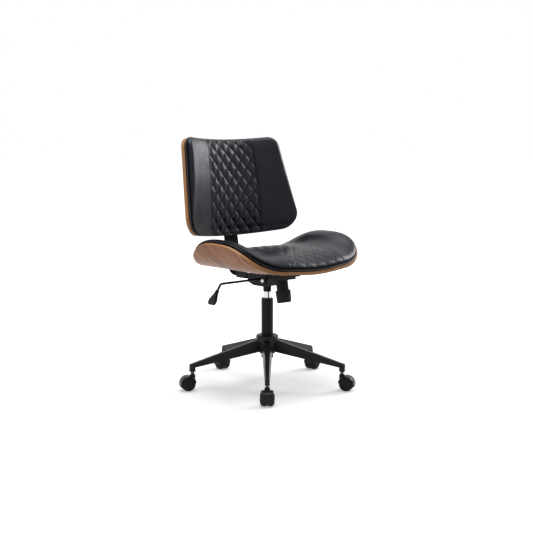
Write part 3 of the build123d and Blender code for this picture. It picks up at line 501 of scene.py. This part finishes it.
# Seat cushion: foam pad in a sewn black leather cover of three panels. The middle panel is quilted
# in diamonds, the outer ones run smooth up the wings, and all three roll down to the ply in front.
pad_overhang = 6.0
pad_lift = 0.8
pad_waist = 12.0
pad_tuck = 6.0
pad_full = 59.0
wing_full = 50.0
front_roll, rear_roll, wing_roll = 0.74, 0.5, 0.17
rear_fall, rear_fall_from, rear_ease = 0.25, -70.0, 1.5
seat_seam = 119.0
seat_diamond = (44.5, 55.0)
seat_knot = (-12.0, -252.0)
seat_relief = {"valley_depth": 0.55, "dome_rise": 0.6, "seam_depth": 1.0, "seam_half": 3.5}
valley_half, quilt_fade = 0.13, 8.0
edge_ease = 1.5
pad_fine = (289, 237, 6)
pad_coarse = (97, 79, 3)
under_shares = (0.85, 0.6, 0.35, 0.12, 0.0)
seam_held, rim_held, rim_fold = 4.0, 0.9, 0.03
cloth_push, cloth_limit, cloth_frames, calm_passes = 4.0, 2.5, 20, 12


def rim_lines(count, rim):
    """Grid line places from -1 to 1 over a pad's face, with this many more out to 2 for its border."""
    outer = np.linspace(1, 2, rim + 1)[1:]
    return np.concatenate([-outer[::-1], np.linspace(-1, 1, count - 2 * rim), outer])


def seat_pad_top(columns, rows, rim):
    """Top face of the seat pad: a square grid drawn onto the seat's superellipse, finer towards its edge.
    The height falls from the middle to the waist on a quarter ellipse, which is long in front and short
    on the wings, and is then tucked in to the ply. Gives girth, depth, ring and height."""
    a, b = np.meshgrid(rim_lines(columns, rim), rim_lines(rows, rim), indexing="ij")
    ring = np.maximum(np.abs(a), np.abs(b))
    a, b = np.where(ring > 0, a, 1) / np.maximum(ring, 1e-9), b / np.maximum(ring, 1e-9)
    power = np.where(b < 0, *seat_fullness)
    draw = (np.abs(a) ** power + np.abs(b) ** power) ** (-1 / power)
    out = 1 - (1 - np.minimum(ring, 1)) ** edge_ease
    tuck = np.clip(ring - 1, 0, 1) * np.pi / 2
    inward = pad_tuck * (1 - np.cos(tuck))
    girth = a * draw * (out * (seat_half_girth + pad_overhang) - inward)
    depth = b * draw * (out * (seat_half_depth + pad_overhang) - inward)
    endwise = np.abs(b * draw) ** power
    roll = np.where(b < 0, front_roll, rear_roll) * endwise + wing_roll * (1 - endwise)
    steep = np.clip(1 - (1 - out) / roll, 0, 1)
    wing = np.clip((np.abs(girth) - seat_seam) / (seat_half_girth - seat_seam), 0, 1)
    rearward = np.clip((depth - rear_fall_from) / seat_half_depth, 0, 1)
    full = pad_full * (1 - rear_fall * rearward**rear_ease)
    full = full + (wing_full - full) * wing**2 * (3 - 2 * wing)
    height = pad_waist + (full - pad_waist) * np.sqrt(1 - steep**2) - (pad_waist - pad_lift) * np.sin(tuck)
    return girth, depth + seat_centre, ring, height


def swell(form, held):
    """Let air pressure round out a pad: a cloth run on the whole closed form, with the held points pinned.
    Gives how far every point has moved, in millimetres and cut off at the limit."""
    scene = bpy.context.scene
    pins = form.vertex_groups.new(name="held")
    pins.add([int(point) for point in np.flatnonzero(held)], 1.0, "REPLACE")
    cloth = form.modifiers.new("swell", "CLOTH")
    cloth.settings.use_pressure = True
    cloth.settings.uniform_pressure_force = cloth_push
    cloth.settings.effector_weights.gravity = 0
    cloth.settings.vertex_group_mass = "held"
    cloth.settings.quality = 6
    cloth.settings.tension_stiffness = 25
    cloth.settings.compression_stiffness = 25
    cloth.settings.bending_stiffness = 2.0
    start = np.empty(len(form.data.vertices) * 3)
    form.data.vertices.foreach_get("co", start)
    for step in range(1, cloth_frames + 1):
        scene.frame_set(step)
    shaped = form.evaluated_get(bpy.context.evaluated_depsgraph_get()).data
    moved = np.empty(len(start))
    shaped.vertices.foreach_get("co", moved)
    shift = (moved - start).reshape(-1, 3) * 1000
    length = np.linalg.norm(shift, axis=1, keepdims=True)
    scene.frame_set(1)
    return shift * np.minimum(1, cloth_limit / np.maximum(length, 1e-9))


def calmed(shift, sewn):
    """A shift on a grid, each point moved to the mean of its four neighbours a number of times, with the
    sewn points kept still."""
    for _ in range(calm_passes):
        padded = np.pad(shift, ((1, 1), (1, 1), (0, 0)), mode="edge")
        shift = (padded[:-2, 1:-1] + padded[2:, 1:-1] + padded[1:-1, :-2] + padded[1:-1, 2:]) / 4
        shift = np.where(sewn[..., None], 0, shift)
    return shift


def between(coarse, columns, rows):
    """Values of a coarse grid read evenly on a finer one, linear both ways."""
    first = np.linspace(0, coarse.shape[0] - 1, columns)
    second = np.linspace(0, coarse.shape[1] - 1, rows)
    low = np.minimum(first.astype(int), coarse.shape[0] - 2)
    low2 = np.minimum(second.astype(int), coarse.shape[1] - 2)
    part, part2 = (first - low)[:, None, None], (second - low2)[None, :, None]
    left = coarse[low][:, low2] * (1 - part2) + coarse[low][:, low2 + 1] * part2
    right = coarse[low + 1][:, low2] * (1 - part2) + coarse[low + 1][:, low2 + 1] * part2
    return left * (1 - part) + right * part


def closed_pad(name, top, under, stitch=None, open_face=None):
    """Pad mesh from the grid of its top face and the rings of its face underneath, which start at the
    grid's outer loop and end in one middle point. Stitch places and the open face lie on the points."""
    columns, rows = top.shape[:2]
    index = np.arange(columns * rows).reshape(columns, rows)
    quads = np.stack([index[:-1, :-1], index[1:, :-1], index[1:, 1:], index[:-1, 1:]], -1).reshape(-1, 4)
    loops = [rim_loop(index)]
    for ring in range(len(under) - 1):
        loops.append(columns * rows + ring * len(loops[0]) + np.arange(len(loops[0])))
    last = columns * rows + (len(under) - 1) * len(loops[0])
    sides = [np.stack([a, b, np.roll(b, -1), np.roll(a, -1)], -1) for a, b in zip(loops[:-1], loops[1:])]
    end = loops[-1]
    fan = np.stack([np.full(len(end) // 2, last), np.roll(end, -2)[::2], np.roll(end, -1)[::2], end[::2]], -1)
    points = np.concatenate([top.reshape(-1, 3), *under[:-1], under[-1][:1]])
    mesh = bpy.data.meshes.new(name)
    mesh.from_pydata(points * 0.001, [], np.concatenate([quads, *sides, fan]))
    for layer, kind, field, values in (
        ("stitch", "FLOAT_VECTOR", "vector", stitch), ("open_face", "FLOAT", "value", open_face),
    ):
        if values is not None:
            width = values.shape[-1] if kind == "FLOAT_VECTOR" else 1
            flat = np.zeros((len(points), width), np.float32)
            flat[: columns * rows] = values.reshape(-1, width)
            mesh.attributes.new(layer, kind, "POINT").data.foreach_set(field, flat.ravel())
    mesh.shade_smooth()
    thing = bpy.data.objects.new(name, mesh)
    bpy.context.collection.objects.link(thing)
    return thing


def rim_loop(grid):
    """Outer loop of a grid, once round."""
    return np.concatenate([grid[:-1, 0], grid[-1, :-1], grid[:0:-1, -1], grid[0, :0:-1]])


def quilting(first, second, knot, diamond, from_seam):
    """Two stitch counts, which are whole numbers along the two sets of slanting stitch lines, and the
    distance past the seam beside the quilted panel."""
    step, climb = (first - knot[0]) / diamond[0], (second - knot[1]) / diamond[1]
    return np.stack([step + climb, step - climb, from_seam], -1)


def sewn_relief(stitch, valley_depth, dome_rise, seam_depth, seam_half):
    """Height of the sewn face: each diamond a shallow dome with a rounded valley along its four sides,
    fading out before the seam, which is a rounded valley too."""
    sides = np.abs(stitch[..., :2] - np.round(stitch[..., :2]))
    valley = np.prod(1 - np.exp(-((sides / valley_half) ** 2)), axis=-1)
    dome = np.prod(np.sin(np.pi * sides) ** 2, axis=-1)
    quilted = np.clip(-stitch[..., 2] / quilt_fade, 0, 1)
    seam = seam_depth * np.exp(-((stitch[..., 2] / seam_half) ** 2))
    return quilted * (valley_depth * (valley - 1) + dome_rise * (dome - 1)) - seam


def rounded_out(name, top, under, sewn):
    """Shift of every point of a pad's face: a cloth run on a coarse copy with its sewn points held still,
    calmed and read on the fine grid."""
    trial = closed_pad(name, top, under)
    still = np.ones(len(trial.data.vertices), bool)
    still[: sewn.size] = sewn.ravel()
    shift = swell(trial, still)[: sewn.size].reshape(*sewn.shape, 3)
    bpy.data.objects.remove(trial)
    return between(calmed(shift, sewn), *pad_fine[:2])


def seat_under(girth, depth):
    """Rings of the seat pad's face underneath, from its outer loop to the middle."""
    across, along = rim_loop(girth), rim_loop(depth) - seat_centre
    return [seat_spot(across * share, along * share + seat_centre, pad_lift) for share in under_shares]


seat_swell = 0.0
girth, depth, ring, padding = seat_pad_top(*pad_coarse)
sewn = (np.abs(np.abs(girth) - seat_seam) < seam_held) | (ring > rim_held)
rough = seat_spot(girth, depth, padding)
seat_swell = rounded_out("seat_pad_trial", rough, seat_under(girth, depth), sewn)
girth, depth, ring, padding = seat_pad_top(*pad_fine)
stitch = quilting(girth, depth, seat_knot, seat_diamond, np.abs(girth) - seat_seam)
open_face = np.clip((1 - ring) / rim_fold, 0, 1)
padding = padding + sewn_relief(stitch, **seat_relief) * open_face
pad_top = seat_spot(girth, depth, padding) + seat_swell
seat_pad = closed_pad("seat_pad_leather", pad_top, seat_under(girth, depth), stitch, open_face)


def leather(name):
    """Black leather: small pebbled cells over a coarser noise for the bump, a slow noise that moves the
    colour and roughness, and faintly cool highlights. Stitch lines are cut in, and painted shade darkens
    the colour and specular level in them and over the border's fold."""
    material, nodes, wire, shader = new_finish(name)
    place = nodes.new("ShaderNodeTexCoord")
    pebble = nodes.new("ShaderNodeTexVoronoi")
    pebble.feature = "SMOOTH_F1"
    pebble.inputs["Scale"].default_value = 620.0
    wire(place.outputs["Object"], pebble.inputs["Vector"])
    crease = nodes.new("ShaderNodeTexNoise")
    crease.inputs["Scale"].default_value = 90.0
    crease.inputs["Detail"].default_value = 5.0
    wire(place.outputs["Object"], crease.inputs["Vector"])
    mixed = nodes.new("ShaderNodeMath")
    mixed.operation = "MULTIPLY_ADD"
    mixed.inputs[1].default_value = 0.5
    wire(crease.outputs["Fac"], mixed.inputs[0])
    wire(pebble.outputs["Distance"], mixed.inputs[2])
    pores = nodes.new("ShaderNodeBump")
    pores.inputs["Strength"].default_value = 0.3
    pores.inputs["Distance"].default_value = 0.0004
    wire(mixed.outputs["Value"], pores.inputs["Height"])
    stitch = nodes.new("ShaderNodeAttribute")
    stitch.attribute_name = "stitch"
    counts = nodes.new("ShaderNodeSeparateXYZ")
    wire(stitch.outputs["Vector"], counts.inputs["Vector"])
    open_face = nodes.new("ShaderNodeAttribute")
    open_face.attribute_name = "open_face"

    def number(operation, first, second):
        """A math node on two sockets or plain numbers."""
        node = nodes.new("ShaderNodeMath")
        node.operation = operation
        for socket, value in zip(node.inputs, (first, second)):
            if isinstance(value, float):
                socket.default_value = value
            else:
                wire(value, socket)
        return node.outputs["Value"]

    def groove(away, half_width):
        """One at a stitch line and nought from the half width outwards, eased at both ends."""
        ease = nodes.new("ShaderNodeMapRange")
        ease.interpolation_type = "SMOOTHSTEP"
        ease.inputs["From Max"].default_value = half_width
        ease.inputs["To Min"].default_value = 1.0
        ease.inputs["To Max"].default_value = 0.0
        wire(away, ease.inputs["Value"])
        return ease.outputs["Result"]

    first = number("PINGPONG", counts.outputs["X"], 0.5)
    second = number("PINGPONG", counts.outputs["Y"], 0.5)
    diamonds = groove(number("MINIMUM", first, second), 0.06)
    diamonds = number("MULTIPLY", diamonds, number("LESS_THAN", counts.outputs["Z"], -2.0))
    from_seam = number("ABSOLUTE", counts.outputs["Z"], 0.0)
    beside = number("ABSOLUTE", number("SUBTRACT", from_seam, 7.0), 0.0)
    seams = number("MAXIMUM", groove(from_seam, 2.6), number("MULTIPLY", groove(beside, 1.3), 0.2))
    # Painted shade: the stitch lines and the border's fold are darkened below, in colour and specular level.
    fold = number("SUBTRACT", 1.0, open_face.outputs["Fac"])
    sewn = number("MULTIPLY", number("MAXIMUM", diamonds, seams), open_face.outputs["Fac"])
    shade = number("MAXIMUM", sewn, fold)
    bump = nodes.new("ShaderNodeBump")
    bump.invert = True
    bump.inputs["Strength"].default_value = 1.0
    bump.inputs["Distance"].default_value = 0.0003
    wire(sewn, bump.inputs["Height"])
    wire(pores.outputs["Normal"], bump.inputs["Normal"])
    wire(bump.outputs["Normal"], shader.inputs["Normal"])
    patch = nodes.new("ShaderNodeTexNoise")
    patch.inputs["Scale"].default_value = 14.0
    patch.inputs["Detail"].default_value = 3.0
    wire(place.outputs["Object"], patch.inputs["Vector"])
    polish = nodes.new("ShaderNodeMapRange")
    polish.inputs["From Min"].default_value = 0.3
    polish.inputs["From Max"].default_value = 0.7
    polish.inputs["To Min"].default_value = 0.3
    polish.inputs["To Max"].default_value = 0.38
    wire(patch.outputs["Fac"], polish.inputs["Value"])
    wire(polish.outputs["Result"], shader.inputs["Roughness"])
    tint = nodes.new("ShaderNodeValToRGB")
    tint.color_ramp.elements[0].position = 0.3
    tint.color_ramp.elements[0].color = (0.0065, 0.0065, 0.0092, 1)
    tint.color_ramp.elements[1].position = 0.75
    tint.color_ramp.elements[1].color = (0.011, 0.0113, 0.0155, 1)
    wire(patch.outputs["Fac"], tint.inputs["Fac"])
    shaded = nodes.new("ShaderNodeVectorMath")
    shaded.operation = "SCALE"
    wire(tint.outputs["Color"], shaded.inputs[0])
    # Painted shade: colour and specular level fall by up to 85% where the shade mask is one.
    lit = number("SUBTRACT", 1.0, number("MULTIPLY", shade, 0.85))
    wire(lit, shaded.inputs["Scale"])
    wire(shaded.outputs["Vector"], shader.inputs["Base Color"])
    wire(number("MULTIPLY", lit, 0.22), shader.inputs["Specular IOR Level"])
    shader.inputs["Specular Tint"].default_value = (0.84, 0.895, 1.0, 1)
    return material


black_leather = leather("black_leather")
seat_pad.data.materials.append(black_leather)
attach(seat_pad, "seat")
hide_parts("seat_cushion")

# Seat piping: a leather-covered cord sewn in under the cushion's rolled border, on the edge of the ply.
# Its cover is the cushion's leather, drawn tight and without the pebble.
seat_cord_out, seat_cord_up, seat_cord_round = 2.2, 6.0, 2.9
cord_steps, cord_sides = 420, 10


def cord(name, spot, first, second, height, radius):
    """Round cord on a bent sheet: a circle carried along the closed path that the sheet's own function
    gives at this height, in the plane square to the path."""
    path = spot(first, second, height)
    along = np.roll(path, -1, 0) - np.roll(path, 1, 0)
    along /= np.linalg.norm(along, axis=1, keepdims=True)
    side = np.cross(along, spot(first, second, height + 1.0) - path)
    up = np.cross(side, along)
    turn = np.linspace(0, 2 * np.pi, cord_sides, endpoint=False)[None, :, None]
    ring = side[:, None] * np.cos(turn) + up[:, None] * np.sin(turn)
    return skin(name, (path[:, None] + radius * ring)[::-1], wrap_rows=True)


border = seat_loop(seat_half_girth + seat_cord_out, seat_half_depth + seat_cord_out, cord_steps)
seat_piping = cord(
    "seat_piping", seat_spot, border[:, 0], border[:, 1] + seat_centre, seat_cord_up, seat_cord_round
)
piping = mottled(
    "piping_leather", (0.008, 0.008, 0.0105), (0.014, 0.014, 0.018), (0.3, 0.4), 0.0016, 0.0001, 0.3
)
seat_piping.data.materials.append(piping)
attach(seat_piping, "seat")

# Back bar: flat black steel strip bolted in the seat plate's rear channel and bent up behind the
# back shell, with four screws into the ply.
dress("back_bar", powder)
dress("back_bolts", powder)

# Back shell: bent plywood like the seat's, one even curve round the sitter, wider at the foot, with
# large lower corners. Its grain stands upright.
back_foot = np.array([0.0, 183.0, 516.0])
back_lean = np.radians(10.4)
back_radius = 436.0
back_height = 345.0
back_half = (258.0, 211.0)
back_round = (56.0, 40.0)
back_bow = 7.5
back_dip = 3.0
back_up = np.array([0, np.sin(back_lean), np.cos(back_lean)])
back_rear = np.array([0, np.cos(back_lean), -np.sin(back_lean)])


def back_spot(across, up, forward):
    """Point in front of the back sheet: across is straight across the sitter, so the sheet's face lies
    on its circle at that place, and forward is square to the sheet."""
    bent = np.arcsin(across / back_radius)
    span = (back_radius - forward) * np.sin(bent)
    rear = (back_radius - forward) * np.cos(bent) - back_radius
    span, rear, up = np.broadcast_arrays(span, rear, up)
    sideways = span[..., None] * np.array([1.0, 0, 0])
    return back_foot + sideways + rear[..., None] * back_rear + up[..., None] * back_up


def back_loop(inset, count):
    """Edge of the back: a four-sided outline with a circle in each corner, drawn in by an inset, its
    foot bowed down and its top dipped by parabolas."""
    slope = np.arctan2(back_half[0] - back_half[1], back_height)
    turn = np.linspace(0, 1, 400)
    corners = []
    for half, level, radius, start, sweep in (
        (back_half[0], 0.0, back_round[0], -np.pi / 2, np.pi / 2 + slope),
        (back_half[1], back_height, back_round[1], slope, np.pi / 2 - slope),
    ):
        inner = radius * np.tan((np.pi / 2 + (slope if level == 0 else -slope)) / 2)
        centre = np.array([half - inner, radius if level == 0 else back_height - radius])
        angle = start + turn * sweep
        corners.append(centre + (radius - inset) * np.stack([np.cos(angle), np.sin(angle)], -1))
    right = np.vstack(corners)
    left = right[::-1] * np.array([-1, 1])
    loop = even_loop(np.vstack([right, left]), count)
    share = loop[:, 1] / back_height
    bowed = (1 - share) * back_bow * (loop[:, 0] / back_half[0]) ** 2
    loop[:, 1] += bowed + share * back_dip * ((loop[:, 0] / back_half[1]) ** 2 - 1)
    return loop


back_middle = np.array([0.0, back_height * 0.48])
back_shell = board("back_shell_walnut", back_spot, back_loop(0.0, outline_steps), back_middle, [1, 0])
back_shell.data.materials.append(walnut("back_walnut", 0.04))
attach(back_shell, "seat")
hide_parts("back_shell")

# Back cushion: like the seat's, a foam pad in three sewn panels with a quilted middle. It is thin at the
# foot, fullest at two thirds of its height, rolled over at the top and boxed at the sides.
back_overhang = 1.5
back_full = 35.5
back_hollow = 28.0
back_full_at = 215.0
back_top_roll = 62.0
back_side_roll = 12.0
back_side_thin = 0.36
back_seam_half, back_seam_draw, back_seam_from, back_seam_run = 119.0, 12.0, 90.0, 240.0
back_diamond = (46.0, 56.5)
back_knot = (3.5, 206.0)
back_relief = {"valley_depth": 1.8, "dome_rise": 1.9, "seam_depth": 2.0, "seam_half": 5.0}
back_ease = 1.7


def back_seam(upward):
    """Half width of the quilted panel at one height: it narrows on a parabola towards the top."""
    return back_seam_half - back_seam_draw * (np.maximum(upward - back_seam_from, 0) / back_seam_run) ** 2


def back_padding(upward):
    """Thickness of the back's padding at one height: it grows from the foot by a power of the way up, and
    falls over the top on a quarter ellipse."""
    grown = back_full - back_hollow * np.clip(1 - upward / back_full_at, 0, 1) ** back_ease
    over = np.clip((upward + back_top_roll - back_height - back_overhang) / back_top_roll, 0, 1)
    return pad_waist + (np.maximum(grown, pad_waist) - pad_waist) * np.sqrt(1 - over**2)


def back_pad_top(columns, rows, rim):
    """Front face of the back pad: a square grid drawn onto the back's outline along rays from its middle,
    finer towards the edge, where it rounds down to the waist and is tucked in as on the seat."""
    arm = back_loop(-back_overhang, 4000) - back_middle
    a, b = np.meshgrid(rim_lines(columns, rim), rim_lines(rows, rim), indexing="ij")
    ring = np.maximum(np.abs(a), np.abs(b))
    towards = np.arctan2(b * back_height / 2, a * (back_half[0] + back_half[1]) / 2)
    bearing, length = np.arctan2(arm[:, 1], arm[:, 0]), np.linalg.norm(arm, axis=1)
    reach = np.interp(towards, bearing, length, period=2 * np.pi)
    out = 1 - (1 - np.minimum(ring, 1)) ** edge_ease
    tuck = np.clip(ring - 1, 0, 1) * np.pi / 2
    along = out * reach - pad_tuck * (1 - np.cos(tuck))
    across, upward = along * np.cos(towards), back_middle[1] + along * np.sin(towards)
    steep = np.clip(1 - reach * (1 - out) / back_side_roll, 0, 1)
    beside = np.clip((np.abs(across) - back_seam(upward)) / (back_half[0] - back_seam_half), 0, 1)
    full = pad_waist + (back_padding(upward) - pad_waist) * (1 - back_side_thin * beside)
    height = pad_waist + (full - pad_waist) * np.sqrt(1 - steep**2)
    return across, upward, ring, height - (pad_waist - pad_lift) * np.sin(tuck)


def back_under(across, upward):
    """Rings of the back pad's face behind, from its outer loop to the middle."""
    span, rise = rim_loop(across), rim_loop(upward) - back_middle[1]
    return [back_spot(span * share, rise * share + back_middle[1], pad_lift) for share in under_shares]


back_swell = 0.0
across, upward, ring, padding = back_pad_top(*pad_coarse)
sewn = (np.abs(np.abs(across) - back_seam(upward)) < seam_held) | (ring > rim_held)
rough = back_spot(across, upward, padding)
back_swell = rounded_out("back_pad_trial", rough, back_under(across, upward), sewn)
across, upward, ring, padding = back_pad_top(*pad_fine)
stitch = quilting(across, upward, back_knot, back_diamond, np.abs(across) - back_seam(upward))
open_face = np.clip((1 - ring) / rim_fold, 0, 1)
padding = padding + sewn_relief(stitch, **back_relief) * open_face
pad_top = back_spot(across, upward, padding) + back_swell
back_pad = closed_pad("back_pad_leather", pad_top, back_under(across, upward), stitch, open_face)
back_pad.data.materials.append(black_leather)
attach(back_pad, "seat")
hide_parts("back_cushion")

# Back piping: the same leather-covered cord, sewn in all round the border of the back cushion, where it
# lies on the edge of the ply.
back_cord_in, back_cord_out, back_cord_round = 0.4, 5.6, 2.7
border = back_loop(back_cord_in, cord_steps)
back_piping = cord("back_piping", back_spot, border[:, 0], border[:, 1], back_cord_out, back_cord_round)
back_piping.data.materials.append(piping)
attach(back_piping, "seat")

# Studio: one flat white floor with soft lamps above and at both sides. The floor carries a painted glow
# for the rays that show the background, weak near the chair and full away from it, so it is seen as plain
# white away from the chair and keeps the chair's shadow.
floor_half = 30000.0


def seeing_rays(nodes, wire):
    """One for the rays that show the background: straight from the camera, off a mirror or through glass."""
    ray = nodes.new("ShaderNodeLightPath")
    total = ray.outputs["Is Camera Ray"]
    for kind in ("Is Glossy Ray", "Is Transmission Ray"):
        plus = nodes.new("ShaderNodeMath")
        plus.operation = "ADD"
        wire(total, plus.inputs[0])
        wire(ray.outputs[kind], plus.inputs[1])
        total = plus.outputs["Value"]
    return total


floor_side = np.linspace(-floor_half, floor_half, 9)
floor_grid = np.stack(np.broadcast_arrays(floor_side[None, :], floor_side[:, None], 0.0), -1)
floor = skin("studio_floor", floor_grid, wrap_columns=False)
paper, nodes, wire, shader = new_finish("studio_paper")
shader.inputs["Base Color"].default_value = (0.85, 0.85, 0.85, 1)
shader.inputs["Roughness"].default_value = 0.9
shader.inputs["Specular IOR Level"].default_value = 0.1
shader.inputs["Emission Color"].default_value = (1, 1, 1, 1)
place = nodes.new("ShaderNodeTexCoord")
from_chair = nodes.new("ShaderNodeVectorMath")
from_chair.operation = "LENGTH"
wire(place.outputs["Object"], from_chair.inputs[0])
# Painted glow: the floor's emission rises from 0.36 within 0.2 m of the chair to 1 beyond 1.3 m.
far_glow = nodes.new("ShaderNodeMapRange")
far_glow.interpolation_type = "SMOOTHSTEP"
far_glow.inputs["From Min"].default_value = 0.2
far_glow.inputs["From Max"].default_value = 1.3
far_glow.inputs["To Min"].default_value = 0.36
far_glow.inputs["To Max"].default_value = 1.0
wire(from_chair.outputs["Value"], far_glow.inputs["Value"])
glow = nodes.new("ShaderNodeMath")
glow.operation = "MULTIPLY"
wire(seeing_rays(nodes, wire), glow.inputs[0])
wire(far_glow.outputs["Result"], glow.inputs[1])
wire(glow.outputs["Value"], shader.inputs["Emission Strength"])
floor.data.materials.append(paper)

world = bpy.data.worlds.new("studio")
bpy.context.scene.world = world
world.use_nodes = True
surround = world.node_tree.nodes["Background"]
surround.inputs["Color"].default_value = (1, 1, 1, 1)
nodes, wire = world.node_tree.nodes, world.node_tree.links.new
sky_level = nodes.new("ShaderNodeMapRange")
sky_level.inputs["To Min"].default_value = 0.17
sky_level.inputs["To Max"].default_value = 1.0
wire(seeing_rays(nodes, wire), sky_level.inputs["Value"])
wire(sky_level.outputs["Result"], surround.inputs["Strength"])


def soft_lamp(name, place, aim, size, power):
    """A rectangular soft box at a place, turned to look at its aim."""
    lamp = bpy.data.lights.new(name, "AREA")
    lamp.shape = "RECTANGLE"
    lamp.size, lamp.size_y = size
    lamp.energy = power
    thing = bpy.data.objects.new(name, lamp)
    bpy.context.collection.objects.link(thing)
    way = Vector(aim) - Vector(place)
    thing.location = place
    thing.rotation_euler = way.to_track_quat("-Z", "Y").to_euler()


soft_lamp("top_box", (0.0, 0.1, 3.0), (0, 0, 0.4), (2.2, 2.2), 72)
soft_lamp("right_box", (3.0, -0.6, 2.0), (0, 0, 0.6), (1.6, 1.5), 70)
soft_lamp("left_box", (-3.0, 0.6, 1.3), (0, 0, 0.45), (1.4, 2.0), 24)

# Camera: a longer lens at the height of the chair's top, looking down a little at the corner that lies in
# front of the sitter and to their right. Its sizes in pixels were solved from the photo.
focal_pixels, photo_pixels, aim_under_horizon = 980.0, 533.0, 128.5
camera_turn = 42.0
camera_data = bpy.data.cameras.new("camera")
camera_data.sensor_width = 36.0
camera_data.lens = camera_data.sensor_width * focal_pixels / photo_pixels
camera_data.shift_x = -0.0014
camera_data.clip_end = 100.0
camera = bpy.data.objects.new("camera", camera_data)
bpy.context.collection.objects.link(camera)
camera.location = (-2.2583, -2.5081, 0.861)
camera_dip = np.arctan(aim_under_horizon / focal_pixels)
camera.rotation_euler = (np.pi / 2 - camera_dip, 0, -np.radians(camera_turn))
bpy.context.scene.camera = camera
bpy.context.scene.view_settings.view_transform = "Standard"
